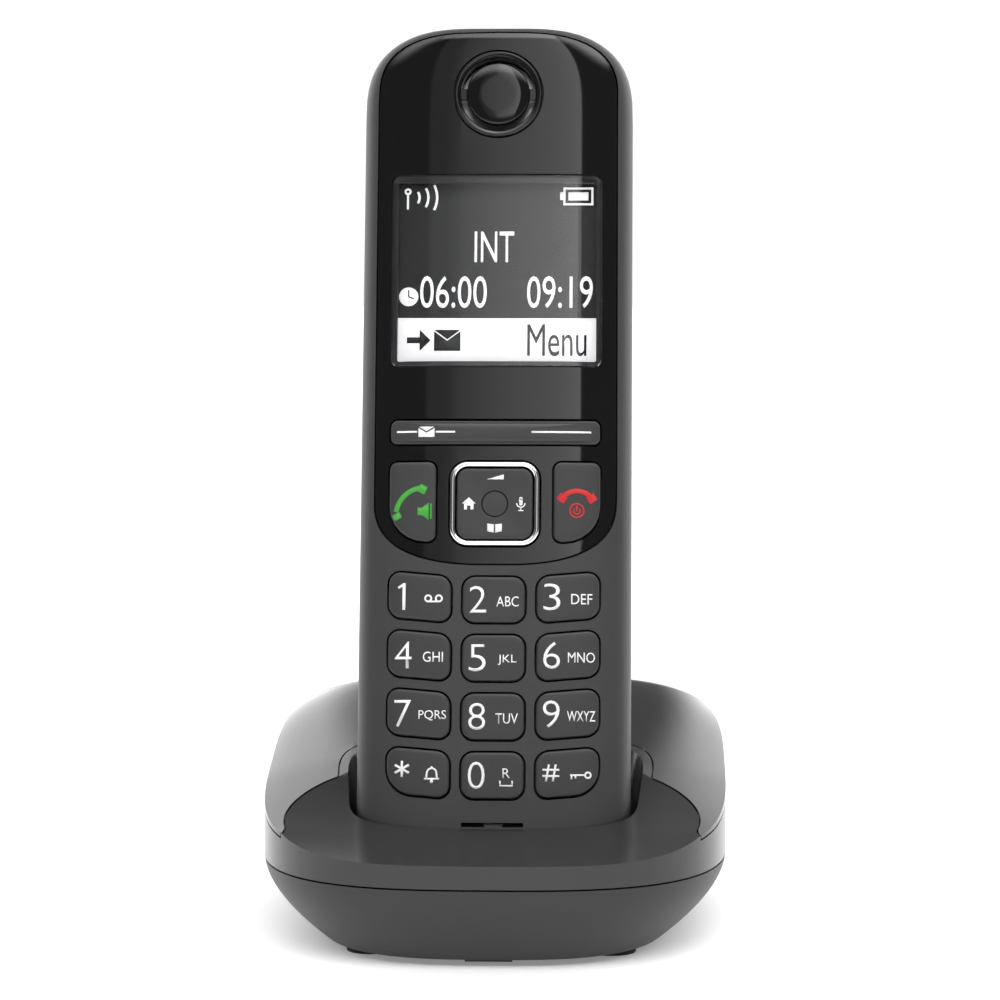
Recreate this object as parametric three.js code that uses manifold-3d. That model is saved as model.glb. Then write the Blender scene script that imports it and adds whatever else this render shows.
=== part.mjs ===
// Cordless telephone handset standing in its charging base.
// Millimetres, +Z up, the keys face -Y, the origin is on the ground under the middle of the base.
// The handset is modelled in a frame of its own: x across, y from its foot to its earpiece, z out
// of its key face, with z = 0 on the joint between its two half shells.
import * as THREE from 'three';
import { mergeVertices } from 'three/addons/utils/BufferGeometryUtils.js';
import Module from 'manifold-3d';

// ---- base sizes
const BASE_WIDTH = 83.4;
const BASE_DEPTH = 98;
const FRONT_SQUARENESS = 2.85;     // superellipse exponents of the plan outline
const BACK_SQUARENESS = 4;
const OUTLINE_POINTS = 36;
const FLOOR_Z = 1.2;               // underside of the lower shell
const PARTING_Z = 14.3;            // joint between the lower and the upper shell
const BOWL_DRAW_X = 10.3;          // how far the lower shell draws in towards its floor
const BOWL_DRAW_Y = 5.6;
const BOWL_CURVE = 1.66;
const SHOULDER_Y = 16 - BASE_DEPTH / 2;    // where the side band starts to climb
const SHOULDER_Z = 20.3;
const BAND_RISE = 13;              // climb of the side band over CLIMB_LENGTH
const CLIMB_LENGTH = 69;
const CLIMB_CURVE = 1.2;
const COVER_THICKNESS = 1.8;       // gloss cover, from its tips at the shoulder to its back
const COVER_TIP = 0.8;
const TIP_LENGTH = 30;
const CROWN_FRONT = 4.7;           // crown of the gloss cover above its rim
const CROWN_BACK = 2.6;
const CROWN_CURVE_FRONT = 1.5;
const CROWN_CURVE_BACK = 12;
const CREASE_Y = 2 - BASE_DEPTH / 2;       // front edge of the slanted facet
const CREASE_Z = 18.5;
const FACET_SLOPE = 0.06;
const FACET_CURVE = 0.00013;       // how much steeper it gets towards the pocket
const FACET_SCOOP = 0.0012;        // how much the facet curves up towards its sides
const SCOOP_LENGTH = 17;           // over which that grows from the crease
const FACET_BACK_Y = -8;           // the facet ends here, inside the handset's pocket
const BASE_WALL = 2.2;
const BASE_FLOOR = 2.4;

// ---- handset sizes
const LENGTH = 154.1;
const WIDTH = 49;
const FRONT_DEPTH = 9.7;           // half shell joint to the key face
const REAR_BULGE = 6.5;            // extra depth of the back at its fullest
const BULGE_START = 10;
const BULGE_SPAN = 150;
const SECTION_SQUARENESS = 4.5;
const FOOT_END = 12;               // length of the rounded foot and head
const HEAD_END = 17;
const END_SQUARENESS = 3;
const FRONT_ROUND = 3.2;           // depth over which the front and the back round off at the ends
const REAR_ROUND = 7;
const END_START = THREE.MathUtils.degToRad(8);
const END_STEPS = 5;
const SIDE_SPANS = 5;
const SECTION_POINTS = 28;
const FRONT_WALL = 2.6;
const REAR_WALL = 2.2;
const LEAN = THREE.MathUtils.degToRad(14);
const FOOT_Y = -17.5;              // where the handset's foot stands in the base
const FOOT_Z = 11.9;

// ---- keys and window, in the handset's frame
const PANEL_HALF_WIDTH = WIDTH / 2 - 2.9;
const PANEL_LOW = 54.1;
const PANEL_HIGH = LENGTH - 2.1;
const PANEL_LOW_END = 12.9;
const PANEL_HIGH_END = 13;
const PANEL_LOW_SQUARENESS = 2.7;
const PANEL_THICKNESS = 1.3;
const WINDOW_WIDTH = 37.8;
const WINDOW_LOW = 90.2;
const WINDOW_HIGH = 125.3;
const WINDOW_CORNER = 1.4;
const WINDOW_LEDGE = 1;            // width of the shell's rim under the window
const EARPIECE_Y = LENGTH - 13.6;
const EARPIECE_RADIUS = 8;
const EAR_DISC_RADIUS = 5.75;
const EAR_SLOT_WIDTH = 1.1;
const KEY_WIDTH = 11.1;
const KEY_HEIGHT = 8.2;
const KEY_PITCH_X = 13.2;
const KEY_PITCH_Y = 10.46;
const KEY_ROWS = 4;
const KEY_TOP_ROW_Y = 47.65;
const KEY_SMILE = 1;               // outer columns climb this much towards the sides
const KEY_CORNER = 2.2;
const KEY_BIG_CORNER = 4.2;
const SOFTKEY_WIDTH = 37.5;
const SOFTKEY_HEIGHT = 4.3;
const SOFTKEY_Y = 77.95;
const SOFTKEY_CORNER = 1.2;
const TALK_WIDTH = 8.3;
const TALK_HEIGHT = 14.4;
const TALK_X = 14.7;
const TALK_LIFT = 0.3;             // above the navigation key's middle
const TALK_CORNER = 1.4;
const TALK_BIG_CORNER = 6.4;
const NAV_Y = 65;
const NAV_WIDTH = 16;
const NAV_HEIGHT = 15.2;
const NAV_CORNER = 3.2;
const NAV_RIM = 0.9;
const NAV_CENTRE_RADIUS = 2.3;
const NAV_LIFT = 0.5;              // of its underside over the other keys'
const KEY_PROUD = 0.5;
const KEY_EDGE = 0.4;
const KEY_FOOT_Z = 4.7;            // underside of the keys
const KEY_FLANGE = 0.7;
const KEY_FLANGE_THICKNESS = 0.5;
const SOFTKEY_FLANGE = 0.2;        // narrow, so that the long bar can rock
const MIC_SLOT_WIDTH = 11;
const MIC_SLOT_HEIGHT = 0.8;
const MIC_Y = 7.55;

// ---- what is inside the handset
const PCB_THICKNESS = 1.2;
const PCB_WIDTH = WIDTH - 9;
const PCB_LOW = 6;
const PCB_HIGH = LENGTH - 24.1;
const PCB_CORNER = 7;
const PCB_Z = 1.2;
const MAT_THICKNESS = 0.9;
const MAT_CORNER = 2;
const DOME_RADIUS = 1.6;
const LCD_THICKNESS = 2.8;
const LCD_MARGIN = 0.5;            // how far the display module reaches past the window
const MIC_RADIUS = 1.8;
const MIC_THICKNESS = 1.6;
const SPEAKER_RADIUS = 7;
const SPEAKER_THICKNESS = 3;
const RINGER_RADIUS = 9;
const RINGER_THICKNESS = 4;
const RINGER_Y = LENGTH - 33.1;
const RINGER_ROOM = 1.6;
const RINGER_SLOT_LENGTH = 14;
const RINGER_SLOT_WIDTH = 1.2;
const RINGER_SLOT_PITCH = 3.4;
const SHIELD_WIDTH = 26;
const SHIELD_LENGTH = 18;
const SHIELD_HEIGHT = 3;
const CELL_RADIUS = 5.25;          // two AAA cells side by side
const CELL_LENGTH = 44.5;
const CELL_LOW = 41;
const CELL_DEPTH = 3.65;           // half shell joint to the cells
const CELL_Z = -CELL_DEPTH - CELL_RADIUS;
const CELL_SPACING = 2 * CELL_RADIUS + 0.7;
const CELL_EDGE = 0.4;
const CELL_NECK = 0.9;             // height and radius of a cell's positive end
const CELL_NECK_RADIUS = 1.9;
const REAR_DEPTH = 2 * CELL_RADIUS + 2;    // half shell joint to the back, at the foot
const PLATE_THICKNESS = 0.5;       // battery contacts
const PLATE_SIZE = 8;
const NIB_RADIUS = 1.2;
const CONTACT_ROOM = 2.6;          // room for the battery contacts at each end of the cells
const TRAY_WALL = 1.2;
const COVER_HALF_WIDTH = WIDTH / 2 - 4.9;
const COVER_LOW = 36;
const COVER_HIGH = 108;
const COVER_CORNER = 6;
const BATTERY_COVER_THICKNESS = 1.5;
const LEDGE_THICKNESS = 1.4;
const LEDGE_WIDTH = 2.5;
const LEDGE_GAP = 0.5;
const SCREW_X = 16.5;
const SCREW_Y = 84;
const SCREW_RADIUS = 1;
const SCREW_HEAD_RADIUS = 2;
const SCREW_HEAD_HEIGHT = 1.3;
const SCREW_SHANK = 7.4;
const SCREW_TIP = 0.8;
const SCREW_SEAT = -4;
const BOSS_WALL = 1.1;

// ---- what is inside the base
const WELL_WALL = 1.6;
const WELL_CLEARANCE = 0.8;        // round the handset's foot
const WELL_FLARE = 1.6;            // extra room at the rim
const WELL_FLOOR = -1.2;           // the pocket's floor, bend and top along the handset
const WELL_BEND = 8;
const WELL_TOP = 60;
const CONTACT_X = 8;
const PAD_WIDTH = 3.4;             // charging pads in the handset's foot
const PAD_DEPTH = 5;
const PAD_THICKNESS = 0.8;
const PAD_LOW = 0.1;
const CONTACT_WIDTH = 2.4;
const CONTACT_DEPTH = 4;
const CONTACT_LENGTH = 5;
const CONTACT_DROP_Z = -4;
const FOOT_RADIUS = 4.5;
const FOOT_X = 21;
const FOOT_FRONT_Y = 20 - BASE_DEPTH / 2;
const FOOT_BACK_Y = BASE_DEPTH / 2 - 16;
const FOOT_RECESS = 0.8;
const BASE_PCB_Z = 6.4;
const BOARD_WIDTH = 42;
const BOARD_LOW = 8;
const BOARD_HIGH = 30;
const POST_RADIUS = 2;             // carries the board
const BASE_SHIELD_WIDTH = 24;
const BASE_SHIELD_DEPTH = 16;
const BASE_SCREW_X = 25;
const BASE_SCREW_Y = 22;
const BASE_SCREW_SINK = 1.6;       // depth of the seats for the screw heads
const BASE_SCREW_RADIUS = 1.4;
const BASE_SCREW_HEAD = 2.4;
const BASE_SCREW_LENGTH = 17;
const RIB_WIDTH = 8.8;             // finger rib under the front edge
const RIB_DEPTH = 1;
const SOCKET_Y = BASE_DEPTH / 2 - 4;       // outer face of the two sockets
const POWER_X = -15;
const POWER_WIDTH = 9;
const POWER_HEIGHT = 8.6;
const POWER_DEPTH = 12;
const LINE_X = 12;
const LINE_WIDTH = 13;
const LINE_HEIGHT = 9;
const LINE_DEPTH = 14;
const SOCKET_Z = 4;
const SOCKET_WALL = 1.1;
const PAGING_WIDTH = 12;
const PAGING_HEIGHT = 5;
const PAGING_Z = 24;
const PAGING_DEPTH = 5;
const PAGING_CORNER = 1.5;

// ---- clearances
const GAP = 0.3;                   // between pieces that touch
const KEY_GAP = 0.35;              // round each key
const FAR = 200;                   // longer than anything here

const wasm = await Module();
wasm.setup();

// ---- solids
function solidOf(geometry) {
  const bare = geometry.clone();
  bare.deleteAttribute('normal');
  bare.deleteAttribute('uv');
  const merged = mergeVertices(bare, 1e-4);
  const corners = merged.index.array;
  const triangles = [];
  for (let i = 0; i < corners.length; i += 3) {
    const [a, b, c] = corners.slice(i, i + 3);
    if (a !== b && b !== c && c !== a) triangles.push(a, b, c);
  }
  const mesh = new wasm.Mesh({
    numProp: 3,
    vertProperties: new Float32Array(merged.attributes.position.array),
    triVerts: new Uint32Array(triangles),
  });
  return new wasm.Manifold(mesh);
}

function geometryOf(solid) {
  const mesh = solid.getMesh();
  const geometry = new THREE.BufferGeometry();
  geometry.setAttribute('position', new THREE.BufferAttribute(new Float32Array(mesh.vertProperties), 3));
  geometry.setIndex(new THREE.BufferAttribute(new Uint32Array(mesh.triVerts), 1));
  geometry.computeVertexNormals();
  return geometry;
}

// An upright prism of a flat shape between two heights.
function prism(shape, low, high, curveSegments = 4) {
  const geometry = new THREE.ExtrudeGeometry(shape, { depth: high - low, bevelEnabled: false, curveSegments });
  return geometry.translate(0, 0, low);
}

// A stack of copies of a flat shape, each level of which `place` puts where it belongs.
function stack(shape, levels, place) {
  const options = { depth: 1, steps: levels, bevelEnabled: false };
  const geometry = new THREE.ExtrudeGeometry(shape, options);
  const position = geometry.attributes.position;
  for (let i = 0; i < position.count; i += 1) {
    const level = Math.round(position.getZ(i) * levels);
    const [x, y, z] = place(position.getX(i), position.getY(i), level);
    position.setXYZ(i, x, y, z);
  }
  return geometry;
}

function box(width, depth, height, x, y, z) {
  return new THREE.BoxGeometry(width, depth, height).translate(x, y, z);
}

function disc(radius, low, high, x = 0, y = 0, sides = 16) {
  const geometry = new THREE.CylinderGeometry(radius, radius, high - low, sides);
  return geometry.rotateX(Math.PI / 2).translate(x, y, (low + high) / 2);
}

// Values that should be zero are made exactly so, which keeps the joins on the middle plane clean.
const exact = (value) => (Math.abs(value) < 1e-9 ? 0 : value);
const signedPower = (value, power) => Math.sign(exact(value)) * Math.abs(exact(value)) ** power;

// A rounded rectangle about the origin; `corners` are the radii from the lower left corner round.
function roundedRect(width, height, corners) {
  const [a, b, c, d] = Array.isArray(corners) ? corners : [corners, corners, corners, corners];
  const right = width / 2;
  const top = height / 2;
  const shape = new THREE.Shape();
  shape.moveTo(-right + a, -top);
  shape.lineTo(right - b, -top);
  shape.absarc(right - b, -top + b, b, -Math.PI / 2, 0, false);
  shape.absarc(right - c, top - c, c, 0, Math.PI / 2, false);
  shape.absarc(-right + d, top - d, d, Math.PI / 2, Math.PI, false);
  shape.absarc(-right + a, -top + a, a, Math.PI, 1.5 * Math.PI, false);
  return shape;
}

// A long outline with straight sides and superelliptic ends.
function longOutline(half, low, high, lowEnd, highEnd, lowSquareness, highSquareness) {
  const points = [];
  const endSteps = 8;
  for (let i = 0; i <= endSteps; i += 1) {
    const angle = (Math.PI * i) / endSteps;
    const power = 2 / highSquareness;
    points.push(new THREE.Vector2(
      half * signedPower(Math.cos(angle), power),
      high - highEnd + highEnd * Math.abs(signedPower(Math.sin(angle), power)),
    ));
  }
  for (let i = 0; i <= endSteps; i += 1) {
    const angle = Math.PI + (Math.PI * i) / endSteps;
    const power = 2 / lowSquareness;
    points.push(new THREE.Vector2(
      half * signedPower(Math.cos(angle), power),
      low + lowEnd - lowEnd * Math.abs(signedPower(Math.sin(angle), power)),
    ));
  }
  return new THREE.Shape(points);
}

// ---- materials
function plastic(color, roughness, metalness = 0) {
  return new THREE.MeshStandardMaterial({ color, roughness, metalness });
}
const MATERIALS = {
  matteShell: plastic(0x2a2a2b, 0.55),
  glossBlack: plastic(0x0b0b0c, 0.08),
  glossCover: plastic(0x151516, 0.12),
  lens: plastic(0x18191a, 0.05),
  key: plastic(0x2b2b2c, 0.5),
  chrome: plastic(0xd0d2d4, 0.12, 1),
  board: plastic(0x1f5a35, 0.5),
  metal: plastic(0xb8babd, 0.3, 1),
  gold: plastic(0xc9a24a, 0.3, 1),
  silicone: plastic(0x55585a, 0.8),
  rubber: plastic(0x1a1a1a, 0.9),
  cell: plastic(0x3b6a8c, 0.4),
  socket: plastic(0x101010, 0.6),
};

// Coincident faces can leave flakes with no volume beside a solid.
const FLAKE = 0.001;
function withoutFlakes(solid) {
  return solid.decompose().filter((piece) => piece.volume() > FLAKE).reduce((all, piece) => all.add(piece));
}

function named(group, name, shape, material) {
  const geometry = shape.isBufferGeometry ? shape : geometryOf(withoutFlakes(shape));
  const mesh = new THREE.Mesh(geometry, MATERIALS[material]);
  mesh.name = name;
  group.add(mesh);
}

// ======================= handset =======================
const handset = new THREE.Group();
handset.position.set(0, FOOT_Y, FOOT_Z);
handset.rotation.x = Math.PI / 2 - LEAN;

function rearDepth(y) {
  const along = THREE.MathUtils.clamp((y - BULGE_START) / BULGE_SPAN, 0, 1);
  return REAR_DEPTH + REAR_BULGE * Math.sin(Math.PI * along);
}

// Height of the key face over the half shell joint.
function frontHeight(x) {
  const across = Math.abs(x / (WIDTH / 2)) ** SECTION_SQUARENESS;
  return FRONT_DEPTH * (1 - across) ** (1 / SECTION_SQUARENESS);
}

// The handset's cross-section with half-width, front depth and rear depth of 1.
function sectionShape() {
  const points = [];
  for (let i = 0; i < SECTION_POINTS; i += 1) {
    const angle = (2 * Math.PI * i) / SECTION_POINTS;
    const power = 2 / SECTION_SQUARENESS;
    points.push(new THREE.Vector2(signedPower(Math.cos(angle), power), signedPower(Math.sin(angle), power)));
  }
  return new THREE.Shape(points);
}

// Stations along the handset: y on the outer surface, the width's share there, and how much of an
// inset moves the station inwards.
function stations() {
  const list = [];
  const power = 2 / END_SQUARENESS;
  for (let i = 0; i <= END_STEPS; i += 1) {
    const angle = THREE.MathUtils.lerp(END_START, Math.PI / 2, i / END_STEPS);
    const shift = signedPower(Math.cos(angle), power);
    const share = Math.sin(angle) ** power;
    list.push({ y: FOOT_END * (1 - shift), share, shift });
    list.push({ y: LENGTH - HEAD_END * (1 - shift), share, shift: -shift });
  }
  for (let i = 1; i < SIDE_SPANS; i += 1) {
    list.push({ y: THREE.MathUtils.lerp(FOOT_END, LENGTH - HEAD_END, i / SIDE_SPANS), share: 1, shift: 0 });
  }
  return list.sort((one, other) => one.y - other.y);
}

// Share of the full depth at y, which rounds off the two ends over `round`.
function depthShare(y, round) {
  const fromEnd = Math.min(y, LENGTH - y);
  return (1 - (1 - Math.min(1, fromEnd / round)) ** 3) ** (1 / 3);
}

// The handset's whole body, drawn in by `inset` all round.
function pillow(inset) {
  const along = stations();
  return solidOf(stack(sectionShape(), along.length - 1, (x, z, level) => {
    const { y, share, shift } = along[level];
    const full = (z > 0 ? FRONT_DEPTH : rearDepth(y)) - inset;
    const depth = full * depthShare(y, z > 0 ? FRONT_ROUND : REAR_ROUND);
    return [-x * (WIDTH / 2 - inset) * share, y + inset * shift, z * depth];
  }));
}

const body = pillow(0);
const frontCavity = pillow(FRONT_WALL);
const rearCavity = pillow(REAR_WALL);

// Outlines of the openings in the key face; `grow` widens one all round.
function panelOutline(grow = 0) {
  return longOutline(
    PANEL_HALF_WIDTH + grow, PANEL_LOW - grow, PANEL_HIGH + grow,
    PANEL_LOW_END, PANEL_HIGH_END, PANEL_LOW_SQUARENESS, END_SQUARENESS,
  );
}

function windowOutline(grow = 0) {
  return roundedRect(WINDOW_WIDTH + 2 * grow, WINDOW_HIGH - WINDOW_LOW + 2 * grow, WINDOW_CORNER + grow);
}
const WINDOW_Y = (WINDOW_LOW + WINDOW_HIGH) / 2;

// Every key: its name, centre, outline and lean of its outline towards the sides.
const NUMBER_KEYS = [
  ['key_1', 'key_2', 'key_3'],
  ['key_4', 'key_5', 'key_6'],
  ['key_7', 'key_8', 'key_9'],
  ['key_star', 'key_0', 'key_hash'],
];

function numberKeys() {
  const keys = [];
  for (let row = 0; row < KEY_ROWS; row += 1) {
    for (let column = -1; column <= 1; column += 1) {
      const corners = [KEY_CORNER, KEY_CORNER, KEY_CORNER, KEY_CORNER];
      if (row === KEY_ROWS - 1 && column === -1) corners[0] = KEY_BIG_CORNER;
      if (row === KEY_ROWS - 1 && column === 1) corners[1] = KEY_BIG_CORNER;
      keys.push({
        name: NUMBER_KEYS[row][column + 1],
        x: column * KEY_PITCH_X,
        y: KEY_TOP_ROW_Y - row * KEY_PITCH_Y + Math.abs(column) * (KEY_SMILE / 2),
        slope: (column * KEY_SMILE) / KEY_WIDTH,
        width: KEY_WIDTH,
        height: KEY_HEIGHT,
        corners,
      });
    }
  }
  return keys;
}

function talkKeys() {
  return [-1, 1].map((side) => ({
    name: side < 0 ? 'call_key' : 'end_key',
    x: side * TALK_X,
    y: NAV_Y + TALK_LIFT,
    slope: 0,
    width: TALK_WIDTH,
    height: TALK_HEIGHT,
    corners: side < 0
      ? [TALK_BIG_CORNER, TALK_CORNER, TALK_CORNER, TALK_CORNER]
      : [TALK_CORNER, TALK_BIG_CORNER, TALK_CORNER, TALK_CORNER],
  }));
}

const SOFTKEY = {
  name: 'softkey_bar',
  x: 0,
  y: SOFTKEY_Y,
  slope: 0,
  width: SOFTKEY_WIDTH,
  height: SOFTKEY_HEIGHT,
  corners: SOFTKEY_CORNER,
};
const KEYS = [...numberKeys(), ...talkKeys(), SOFTKEY];

function keyOutline(key, grow) {
  const corners = Array.isArray(key.corners) ? key.corners.map((r) => r + grow) : key.corners + grow;
  return roundedRect(key.width + 2 * grow, key.height + 2 * grow, corners);
}

// Leans a key's outline, moves it to its place and lifts its top on to the crowned face.
function placeKey(geometry, key, follow) {
  const position = geometry.attributes.position;
  for (let i = 0; i < position.count; i += 1) {
    const x = position.getX(i);
    const z = position.getZ(i);
    const lift = follow && z > FRONT_DEPTH / 2 + KEY_FOOT_Z / 2 ? frontHeight(x + key.x) - FRONT_DEPTH : 0;
    position.setXYZ(i, x + key.x, position.getY(i) + key.slope * x + key.y, z + lift);
  }
  return geometry;
}

function keySolid(key) {
  const options = {
    depth: FRONT_DEPTH + KEY_PROUD - KEY_FOOT_Z - 2 * KEY_EDGE,
    bevelThickness: KEY_EDGE,
    bevelSize: KEY_EDGE,
    bevelOffset: -KEY_EDGE,
    bevelSegments: 1,
    curveSegments: 2,
  };
  const plug = new THREE.ExtrudeGeometry(keyOutline(key, 0), options).translate(0, 0, KEY_FOOT_Z + KEY_EDGE);
  const flangeWidth = key === SOFTKEY ? SOFTKEY_FLANGE : KEY_FLANGE;
  const flange = prism(keyOutline(key, flangeWidth), KEY_FOOT_Z, KEY_FOOT_Z + KEY_FLANGE_THICKNESS, 1);
  return solidOf(placeKey(plug, key, true)).add(solidOf(placeKey(flange, key, false)));
}

function keyHole(key) {
  return solidOf(placeKey(prism(keyOutline(key, KEY_GAP), KEY_FOOT_Z, FAR, 2), key, false));
}

const keyHoles = KEYS.map(keyHole).reduce((all, hole) => all.add(hole));
const navHoleShape = roundedRect(NAV_WIDTH + 2 * KEY_GAP, NAV_HEIGHT + 2 * KEY_GAP, NAV_CORNER + KEY_GAP);
const navHole = solidOf(prism(navHoleShape, KEY_FOOT_Z, FAR).translate(0, NAV_Y, 0));
const windowHole = solidOf(prism(windowOutline(GAP), KEY_FOOT_Z, FAR).translate(0, WINDOW_Y, 0));
const earHole = solidOf(disc(EARPIECE_RADIUS + GAP, KEY_FOOT_Z, FAR, 0, EARPIECE_Y));
const soundHole = solidOf(disc(EAR_DISC_RADIUS + EAR_SLOT_WIDTH, KEY_FOOT_Z, FAR, 0, EARPIECE_Y));

const panelSkin = body.subtract(pillow(PANEL_THICKNESS));
const panel = panelSkin.intersect(solidOf(prism(panelOutline(), 0, FAR)))
  .subtract(keyHoles).subtract(navHole).subtract(windowHole).subtract(earHole);
named(handset, 'front_gloss_panel', panel, 'glossBlack');

const windowPane = panelSkin.intersect(solidOf(prism(windowOutline(), 0, FAR).translate(0, WINDOW_Y, 0)));
named(handset, 'display_window', windowPane, 'lens');

// Front shell: recess for the panel, openings for keys, display, earpiece and microphone, bosses.
const panelRecess = solidOf(prism(panelOutline(GAP), 0, FAR)).subtract(pillow(PANEL_THICKNESS + GAP));
const displayHole = prism(windowOutline(-WINDOW_LEDGE), KEY_FOOT_Z, FAR).translate(0, WINDOW_Y, 0);
const micSlot = box(MIC_SLOT_WIDTH, MIC_SLOT_HEIGHT, FRONT_DEPTH, 0, MIC_Y, FRONT_DEPTH);
const upperHalf = solidOf(box(FAR, 2 * FAR, FAR, 0, 0, FAR / 2 + GAP / 2));
const lowerHalf = solidOf(box(FAR, 2 * FAR, FAR, 0, 0, -FAR / 2 - GAP / 2));
const bossRadius = SCREW_RADIUS + GAP + BOSS_WALL;
let frontShell = body.subtract(frontCavity);
for (const side of [-1, 1]) {
  const bossTop = FRONT_DEPTH - PANEL_THICKNESS - 2 * GAP;
  frontShell = frontShell.add(solidOf(disc(bossRadius, GAP, bossTop, side * SCREW_X, SCREW_Y)));
  const bore = disc(SCREW_RADIUS + GAP, 0, FRONT_DEPTH / 2 + SCREW_RADIUS, side * SCREW_X, SCREW_Y, 12);
  frontShell = frontShell.subtract(solidOf(bore));
}
frontShell = frontShell.intersect(upperHalf).subtract(panelRecess).subtract(keyHoles).subtract(navHole)
  .subtract(solidOf(displayHole)).subtract(soundHole).subtract(solidOf(micSlot));
named(handset, 'handset_front_shell', frontShell, 'matteShell');

for (const key of KEYS) {
  named(handset, key.name, keySolid(key), 'key');
}

// Navigation control: a chrome rim, the four-way pad in it and the centre button in the pad.
const NAV_TOP = FRONT_DEPTH + KEY_PROUD;
const NAV_FOOT = KEY_FOOT_Z + NAV_LIFT;
const rimInner = (gap) => roundedRect(
  NAV_WIDTH - 2 * (NAV_RIM + gap), NAV_HEIGHT - 2 * (NAV_RIM + gap), NAV_CORNER - NAV_RIM - gap,
);
const rimOuter = solidOf(prism(roundedRect(NAV_WIDTH, NAV_HEIGHT, NAV_CORNER), NAV_FOOT, NAV_TOP));
const rim = rimOuter.subtract(solidOf(prism(rimInner(0), 0, FAR)));
named(handset, 'nav_rim', rim.translate([0, NAV_Y, 0]), 'chrome');
const centreHole = solidOf(disc(NAV_CENTRE_RADIUS + GAP, 0, FAR));
const pad = solidOf(prism(rimInner(GAP), NAV_FOOT, NAV_TOP - KEY_EDGE)).subtract(centreHole);
named(handset, 'nav_pad', pad.translate([0, NAV_Y, 0]), 'key');
named(handset, 'nav_centre', disc(NAV_CENTRE_RADIUS, NAV_FOOT, NAV_TOP - KEY_EDGE, 0, NAV_Y), 'key');

// Earpiece cap: a disc held in a ring by two bridges, with two curved sound slots.
const capLow = FRONT_DEPTH - PANEL_THICKNESS;
const capHigh = FRONT_DEPTH + GAP;
let earCap = solidOf(disc(EARPIECE_RADIUS, capLow, capHigh, 0, 0, 24));
let slotRing = solidOf(disc(EAR_DISC_RADIUS + EAR_SLOT_WIDTH, 0, FAR, 0, 0, 24))
  .subtract(solidOf(disc(EAR_DISC_RADIUS, 0, FAR, 0, 0, 24)));
const bridge = box(2 * EARPIECE_RADIUS, 2 * EAR_SLOT_WIDTH, FAR, 0, 0, 0);
slotRing = slotRing.subtract(solidOf(bridge));
earCap = earCap.subtract(slotRing);
named(handset, 'earpiece_cap', earCap.translate([0, EARPIECE_Y, 0]), 'glossBlack');

// Electronics between the half shells.
const pcbTop = PCB_Z + PCB_THICKNESS;
const matZ = pcbTop + GAP;
const pcbShape = roundedRect(PCB_WIDTH, PCB_HIGH - PCB_LOW, PCB_CORNER);
const pcbMiddle = (PCB_HIGH + PCB_LOW) / 2;
let pcb = solidOf(prism(pcbShape, PCB_Z, pcbTop, 3).translate(0, pcbMiddle, 0));
for (const side of [-1, 1]) {
  pcb = pcb.subtract(solidOf(disc(bossRadius + GAP, 0, FAR, side * SCREW_X, SCREW_Y, 12)));
}
named(handset, 'handset_circuit_board', pcb, 'board');

const matLow = KEY_TOP_ROW_Y - (KEY_ROWS - 1) * KEY_PITCH_Y - KEY_HEIGHT / 2 - KEY_FLANGE;
const matHigh = SOFTKEY_Y + SOFTKEY_HEIGHT / 2 + KEY_FLANGE;
const matShape = roundedRect(PCB_WIDTH, matHigh - matLow, MAT_CORNER);
const matDomes = KEYS.map((key) => disc(DOME_RADIUS, matZ, matZ + MAT_THICKNESS + GAP, key.x, key.y, 10));
let mat = solidOf(prism(matShape, matZ, matZ + MAT_THICKNESS, 2).translate(0, (matLow + matHigh) / 2, 0));
for (const dome of matDomes) {
  mat = mat.add(solidOf(dome));
}
named(handset, 'keypad_mat', mat, 'silicone');

const lcdZ = matZ + GAP;
const lcd = box(
  WINDOW_WIDTH + 2 * LCD_MARGIN, WINDOW_HIGH - WINDOW_LOW + 2 * LCD_MARGIN, LCD_THICKNESS,
  0, WINDOW_Y, lcdZ + LCD_THICKNESS / 2,
);
named(handset, 'display_module', lcd, 'lens');
named(handset, 'microphone', disc(MIC_RADIUS, matZ, matZ + MIC_THICKNESS, 0, MIC_Y + 1, 16), 'metal');
const speakerLow = pcbTop + GAP;
const speaker = disc(SPEAKER_RADIUS, speakerLow, speakerLow + SPEAKER_THICKNESS, 0, EARPIECE_Y);
named(handset, 'earpiece_speaker', speaker, 'metal');
const shieldY = COVER_HIGH + 2;
const shield = box(SHIELD_WIDTH, SHIELD_LENGTH, SHIELD_HEIGHT, 0, shieldY, PCB_Z - GAP - SHIELD_HEIGHT / 2);
named(handset, 'handset_radio_shield', shield, 'metal');
const ringerHigh = -rearDepth(RINGER_Y) + REAR_WALL + RINGER_ROOM + RINGER_THICKNESS;
const ringer = disc(RINGER_RADIUS, ringerHigh - RINGER_THICKNESS, ringerHigh, 0, RINGER_Y);
named(handset, 'ringer_speaker', ringer, 'metal');

// Rear shell: opening and ledge for the battery cover, tray for the cells, screw wells, slots.
const coverMiddle = (COVER_LOW + COVER_HIGH) / 2;
function coverPrism(grow) {
  const shape = roundedRect(2 * (COVER_HALF_WIDTH + grow), COVER_HIGH - COVER_LOW + 2 * grow, COVER_CORNER + grow);
  return solidOf(prism(shape, -FAR, 0).translate(0, coverMiddle, 0));
}
const ledgeDepth = BATTERY_COVER_THICKNESS + LEDGE_GAP;
const underSkin = pillow(REAR_WALL / 2);
const ledge = underSkin.subtract(pillow(ledgeDepth + LEDGE_THICKNESS)).intersect(coverPrism(LEDGE_WIDTH));
const trayTop = CELL_Z + CELL_RADIUS + GAP;
const cavityWidth = CELL_SPACING + 2 * CELL_RADIUS + 2 * GAP;
const cavityLow = CELL_LOW - CONTACT_ROOM;
const cavityHigh = CELL_LOW + CELL_LENGTH + CONTACT_ROOM;
const cavityY = (cavityLow + cavityHigh) / 2;
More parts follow.
